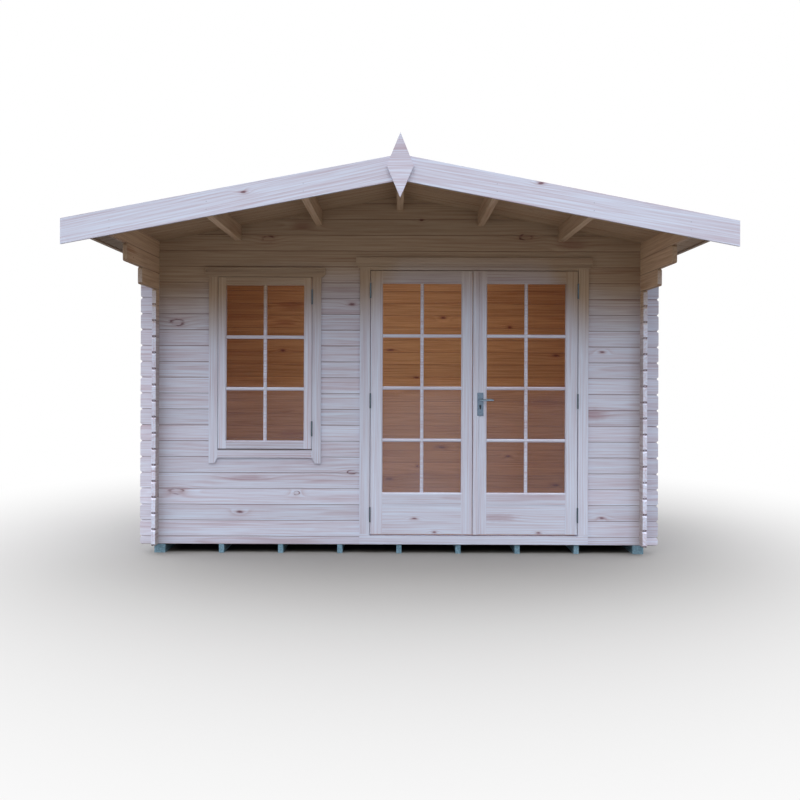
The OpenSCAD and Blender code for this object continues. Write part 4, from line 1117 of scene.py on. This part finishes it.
class CABIN_OT_lay_felt(bpy.types.Operator):
    """Lay two lapped felt sheets on each slope and one over the ridge, and nail their edges"""

    bl_idname = "cabin.lay_felt"
    bl_label = "Roof felt"

    def execute(self, context):
        roof = context.scene.cabin_roof
        felt = mineral_felt()
        middle = FELT_HIGH.x / 2
        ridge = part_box("ridge_felt")[1].x
        head_rise = 1.2 * MM
        count = int((FELT_HIGH.y - FELT_LOW.y) / roof.clout_pitch)
        points = []

        def lapped(x):
            """The upper sheet climbs on to the lower one."""
            t = min(max((x - middle + roof.lap) / (0.4 * roof.lap), 0.0), 1.0)
            return FELT_V * t * t * (3 - 2 * t)

        for side, word in SIDES:
            shape = bmesh.new()
            felt_sheet(shape, side, FELT_HIGH.x, middle - roof.lap, lambda x: 0.0, roof.felt_wave)
            felt_sheet(shape, side, middle, FELT_LOW.x, lapped, roof.felt_wave)
            add_piece(f"{word}_felt_sheets", closed_mesh("felt", shape, felt), "cabin", "roof_felt",
                      f"{word}_roof_felt")
            for edge, sheets in ((FELT_HIGH.x, 1), (middle, 2), (ridge, 2)):
                x = edge - roof.clout_inset
                top = under(x) + DECK_V + sheets * FELT_V + head_rise
                for k in range(count):
                    y = FELT_LOW.y + (k + 0.5) * roof.clout_pitch
                    points.append(((side * x, y, top), (0.0, side * PITCH, 0.0)))
        shape = bmesh.new()
        low = DECK_V + FELT_V + SEAT + roof.felt_wave
        high = low + FELT_V
        section = [
            (0.0, RIDGE_Z + low), (ridge, under(ridge) + low), (ridge, under(ridge) + high),
            (0.0, RIDGE_Z + high), (-ridge, under(ridge) + high), (-ridge, under(ridge) + low),
        ]
        skin(shape, [[(x, y, z) for x, z in section] for y in (FELT_LOW.y, FELT_HIGH.y)])
        add_piece("ridge_felt_sheet", closed_mesh("felt", shape, felt), "cabin", "roof_felt", "ridge_felt")
        clout = nail_head(context.scene.cabin_joinery.clout)
        set_fixings("felt_nails", points, clout, zinc_plate(), "cabin", "hinge_steel")
        return {"FINISHED"}


class CABIN_OT_dress_joinery(bpy.types.Operator):
    """Give doors, window, frames and trim their pine"""

    bl_idname = "cabin.dress_joinery"
    bl_label = "Doors and window"

    def execute(self, context):
        dress(pine("stile_pine", ALONG_Z, TRIM_FACE, seed=41.0, room=0.0, streaks=0.85),
              "window_sash_stiles", "left_door_stiles", "right_door_stiles", "closing_strip")
        dress(pine("rail_pine", ALONG_X, TRIM_FACE, seed=43.0, tone=0.94, room=0.0),
              "window_sash_rails", "left_door_rails", "right_door_rails")
        dress(pine("panel_pine", ALONG_X, TRIM_FACE, seed=47.0, tone=0.96, knots=PANEL_KNOTS, room=0.0,
                   streaks=0.85), "left_door_panel", "right_door_panel")
        sash_low, sash_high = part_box("window_sash_stiles")
        window_x = (sash_low.x + sash_high.x) / 2
        beside_sash = (window_x, sash_high.x - window_x, 0.0, sash_high.z + 1 * MM)
        dress(pine("window_trim_pine", ALONG_X, TRIM_FACE, seed=53.0, tone=0.95, room=0.0,
                   upright=beside_sash), "window_trim")
        # Painted shade: the frame is darker and takes some of the painted canopy shade colour, so that the
        # gaps round the sash read dark
        dress(pine("window_frame_pine", ALONG_X, TRIM_FACE, seed=55.0, warmth=0.6, tone=0.5, room=0.0),
              "window_frame")
        leaf_low, leaf_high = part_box("left_door_stiles")
        beside_doors = (DOOR_X, STOP_HIGH.x - DOOR_X - 14 * MM, leaf_low.z, leaf_high.z + 15 * MM)
        dress(pine("door_trim_pine", ALONG_X, TRIM_FACE, seed=59.0, tone=1.03, room=0.0, streaks=0.75,
                   upright=beside_doors), "door_trim")
        # Painted light: the frame and stops are paler, so that the shaded gaps round the leaves read lighter
        dress(pine("door_frame_pine", ALONG_Z, TRIM_FACE, seed=63.0, tone=1.3, room=0.0),
              "door_frame", "door_stops")
        return {"FINISHED"}


def bar_mesh(half, width, depth, upright):
    """Glazing bar with a stepped, bevelled face towards -Y and its back on y = 0; half is half its length."""
    edge = width / 2
    flat = 0.42 * edge
    step = -0.35 * depth
    section = ((-edge, 0.0), (edge, 0.0), (edge, step), (flat, -depth), (-flat, -depth), (-edge, step))
    shape = bmesh.new()
    ends = (-half, half)
    if upright:
        skin(shape, [[(a, y, end) for a, y in section] for end in ends])
    else:
        skin(shape, [[(end, y, a) for a, y in section] for end in ends])
    return closed_mesh("bar", shape)


def glazing(name, glass_node, rows, body, material):
    """Bars on both faces of one sheet of glass: one upright, and cross bars between the rows of panes."""
    joinery = bpy.context.scene.cabin_joinery
    low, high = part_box(glass_node)
    half_w = (high.x - low.x) / 2 - joinery.bite
    half_h = (high.z - low.z) / 2 - joinery.bite
    centre = (low + high) / 2
    step = 2 * half_h / rows
    upright = bar_mesh(half_h, joinery.bar, joinery.bar_depth, True)
    cross = bar_mesh(half_w, joinery.bar, 0.93 * joinery.bar_depth, False)
    meshes = []
    for unit, count, first, rise in (
        (upright, 1, centre.z, 0.0), (cross, rows - 1, centre.z - half_h + step, step),
    ):
        row = row_of(unit, count, (centre.x, low.y, first), (0.0, 0.0, rise), material)
        meshes += [row, other_face(row, centre.y)]
    return add_piece(name, joined(name, meshes, material), body, "joinery")


class CABIN_OT_add_glazing(bpy.types.Operator):
    """Glaze the doors and the window, and fix the glazing bars"""

    bl_idname = "cabin.add_glazing"
    bl_label = "Glass and glazing bars"

    def execute(self, context):
        joinery = context.scene.cabin_joinery
        dress(float_glass(), "window_glass", "left_door_glass", "right_door_glass")
        bars = pine("glazing_bar_pine", ALONG_X, TRIM_FACE, seed=61.0, room=0.0)
        glazing("window_bars", "window_glass", joinery.window_rows, "cabin", bars)
        for _, word in SIDES:
            glazing(f"{word}_door_bars", f"{word}_door_glass", joinery.door_rows, f"{word}_door", bars)
        return {"FINISHED"}


def lock_face(x, middle_z, front):
    """Face of a lock cylinder: a round head over a slot, a little proud of the plate."""
    head, foot, tall = 7.6 * MM, 4.4 * MM, 31 * MM
    sunk, proud = 0.4 * MM, 0.6 * MM
    head_z = middle_z + tall / 2 - head
    foot_z = middle_z - tall / 2 + foot
    outline = []
    for radius, z, first, sweep, steps in ((head, head_z, -35, 250, 8), (foot, foot_z, 180, 180, 6)):
        for k in range(steps + 1):
            turn = math.radians(first + sweep * k / steps)
            outline.append((x + radius * math.cos(turn), z + radius * math.sin(turn)))
    shape = bmesh.new()
    skin(shape, [[(px, y, pz) for px, pz in outline] for y in (front + sunk, front - proud)])
    return closed_mesh("lock_face", shape)


class CABIN_OT_dress_fittings(bpy.types.Operator):
    """Plate the hinges, brush the handle, and add the lock's face and the plate's screws"""

    bl_idname = "cabin.dress_fittings"
    bl_label = "Hinges and handle"

    def execute(self, context):
        joinery = context.scene.cabin_joinery
        satin = steel("satin_steel", joinery.steel, 0.32, BRUSHED_ACROSS)
        black = steel("blackened_steel", joinery.lock, 0.45, BRUSHED_UP)
        dress(zinc_plate(), "window_hinges", "frame_hinges", "left_door_hinges", "right_door_hinges")
        dress(satin, "handle_plates")
        dress(steel("polished_steel", joinery.lever, 0.25, BRUSHED_ACROSS), "door_lever")
        low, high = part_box("handle_plates")
        middle = (low + high) / 2
        outer = lock_face(middle.x, middle.z - joinery.lock_drop, low.y)
        faces = joined("lock_faces", (outer, other_face(outer, middle.y)), black)
        add_piece("lock_faces", faces, "right_door", "handle_steel")
        # The lock stands 2 mm in front of the plate
        lock_rise = 2 * MM
        points = []
        for z in (low.z + joinery.screw_inset, high.z - joinery.screw_inset):
            points.append(((middle.x, low.y + lock_rise, z), FACING_FRONT))
            points.append(((middle.x, high.y - lock_rise, z), FACING_BACK))
        set_fixings("plate_screws", points, nail_head(joinery.screw), satin, "right_door", "handle_steel")
        return {"FINISHED"}


def seen_rays(tree):
    """1 for the rays of the camera, of gloss and of glass, and 0 for those that carry light."""
    path = add(tree, "ShaderNodeLightPath").node.outputs
    mirror = add(tree, MATH, [path["Is Glossy Ray"], path["Is Transmission Ray"]], operation="MAXIMUM")
    return add(tree, MATH, [path["Is Camera Ray"], mirror], operation="MAXIMUM")


WHITE = (1.0, 1.0, 1.0, 1.0)


def overcast_sky(stage):
    """Soft light, brighter overhead than at the horizon; the camera, gloss and glass see plain white."""
    world = bpy.data.worlds.new("overcast_sky")
    bpy.context.scene.world = world
    world.use_nodes = True
    tree = world.node_tree
    tree.nodes.clear()
    direction = add(tree, COORDS, out="Generated")
    rise = add(tree, SPLIT, [direction], "Z")
    steep = add(tree, MATH, [rise, rise], operation="MULTIPLY")
    glow = add(tree, RANGE, [steep, 0.0, 1.0, stage.horizon, stage.zenith])
    side = add(tree, VECTOR, [direction, stage.lean], "Value", operation="DOT_PRODUCT")
    leant = add(tree, MATH, [side, glow, glow], operation="MULTIPLY_ADD")
    light = add(tree, "ShaderNodeBackground", {"Color": opaque(stage.sky), "Strength": leant})
    white = add(tree, "ShaderNodeBackground", {"Color": WHITE, "Strength": 1.0})
    both = add(tree, "ShaderNodeMixShader", [seen_rays(tree), light, white])
    add(tree, "ShaderNodeOutputWorld", {"Surface": both})


def studio_floor(stage):
    """Pale floor that keeps the cabin's soft shadow and fades to white further out."""
    material, tree, surface = new_material("studio_floor")
    place = add(tree, COORDS, out="Object")
    seen = seen_rays(tree)
    colour = add(tree, MIX, {
        0: seen, COLOUR_A: opaque(stage.floor_bounce), COLOUR_B: opaque(stage.floor),
    }, COLOUR_OUT, data_type="RGBA")
    reach = add(tree, VECTOR, [place], operation="ABSOLUTE")
    past = add(tree, VECTOR, [reach, (WALL_IN, WALL_IN_Y, 0.0)], operation="SUBTRACT")
    past_x, past_y, _ = add(tree, SPLIT, [past]).node.outputs
    past_edge = add(tree, MATH, [past_x, past_y], operation="MAXIMUM")
    shade = add(tree, RANGE, [past_edge, -stage.shade_in, stage.shade_out, stage.shade, 1.0])
    shaded = add(tree, VECTOR, {0: colour, "Scale": shade}, operation="SCALE")
    matt = add(tree, "ShaderNodeBsdfDiffuse", {"Color": shaded})
    white = add(tree, "ShaderNodeEmission", {"Color": WHITE, "Strength": 1.0})
    wide = add(tree, VECTOR, [place, (stage.fade_across, 1.0, 1.0)], operation="MULTIPLY")
    away = add(tree, VECTOR, [wide], "Value", operation="LENGTH")
    fade = add(tree, RANGE, [away, stage.fade_start, stage.fade_end], interpolation_type="SMOOTHSTEP")
    shown = add(tree, MATH, [fade, seen], operation="MULTIPLY")
    tree.links.new(add(tree, "ShaderNodeMixShader", [shown, matt, white]), surface)
    return material


class CABIN_OT_set_stage(bpy.types.Operator):
    """Set the floor, the light and the camera"""

    bl_idname = "cabin.set_stage"
    bl_label = "Stage"

    def execute(self, context):
        scene = context.scene
        stage = scene.cabin_stage
        scene.view_settings.view_transform = "Standard"
        overcast_sky(stage)
        shape = bmesh.new()
        bmesh.ops.create_circle(shape, cap_ends=True, segments=64, radius=stage.floor_radius)
        mesh = bpy.data.meshes.new("studio_floor")
        shape.to_mesh(mesh)
        shape.free()
        mesh.materials.append(studio_floor(stage))
        floor = bpy.data.objects.new("studio_floor", mesh)
        scene.collection.objects.link(floor)
        lamp = bpy.data.lights.new("room_lamp", "AREA")
        lamp.shape = "RECTANGLE"
        lamp.size, lamp.size_y = stage.lamp_size
        lamp.energy = stage.room_lamp
        room = bpy.data.objects.new("room_lamp", lamp)
        room.location = stage.lamp_place
        room.rotation_euler = (stage.lamp_tilt, 0.0, 0.0)
        room.visible_camera = False
        scene.collection.objects.link(room)
        lens = bpy.data.cameras.new("camera")
        lens.lens = stage.lens
        lens.sensor_width = 36.0
        lens.shift_x, lens.shift_y = stage.shift
        camera = bpy.data.objects.new("camera", lens)
        camera.location = stage.eye
        camera.rotation_euler = (math.pi / 2, stage.roll, 0.0)
        scene.collection.objects.link(camera)
        scene.camera = camera
        return {"FINISHED"}


STEPS = (
    CABIN_OT_dress_walls, CABIN_OT_dress_roof_timber, CABIN_OT_lay_roof_boards, CABIN_OT_lay_floor,
    CABIN_OT_lay_felt, CABIN_OT_dress_joinery, CABIN_OT_add_glazing, CABIN_OT_dress_fittings,
    CABIN_OT_set_stage,
)
SETTINGS = {
    "cabin_timber": CabinTimber,
    "cabin_roof": CabinRoof,
    "cabin_joinery": CabinJoinery,
    "cabin_stage": CabinStage,
}


class CABIN_PT_steps(bpy.types.Panel):
    """Steps that finish the cabin, and their settings"""

    bl_idname = "CABIN_PT_steps"
    bl_label = "Log cabin"
    bl_space_type = "VIEW_3D"
    bl_region_type = "UI"
    bl_category = "Cabin"

    def draw(self, context):
        for step in STEPS:
            self.layout.operator(step.bl_idname)
        for key, group in SETTINGS.items():
            part = self.layout.box()
            settings = getattr(context.scene, key)
            for name in group.__annotations__:
                part.prop(settings, name)


def register():
    """Registers the settings, the steps and the panel."""
    for key, group in SETTINGS.items():
        bpy.utils.register_class(group)
        setattr(bpy.types.Scene, key, PointerProperty(type=group))
    for step in (*STEPS, CABIN_PT_steps):
        bpy.utils.register_class(step)


def unregister():
    """Takes the panel, the steps and the settings out again."""
    for step in (CABIN_PT_steps, *reversed(STEPS)):
        bpy.utils.unregister_class(step)
    for key, group in reversed(SETTINGS.items()):
        delattr(bpy.types.Scene, key)
        bpy.utils.unregister_class(group)


def main():
    """Runs every step in order."""
    register()
    for step in STEPS:
        section, name = step.bl_idname.split(".")
        getattr(getattr(bpy.ops, section), name)()


if __name__ == "__main__":
    main()
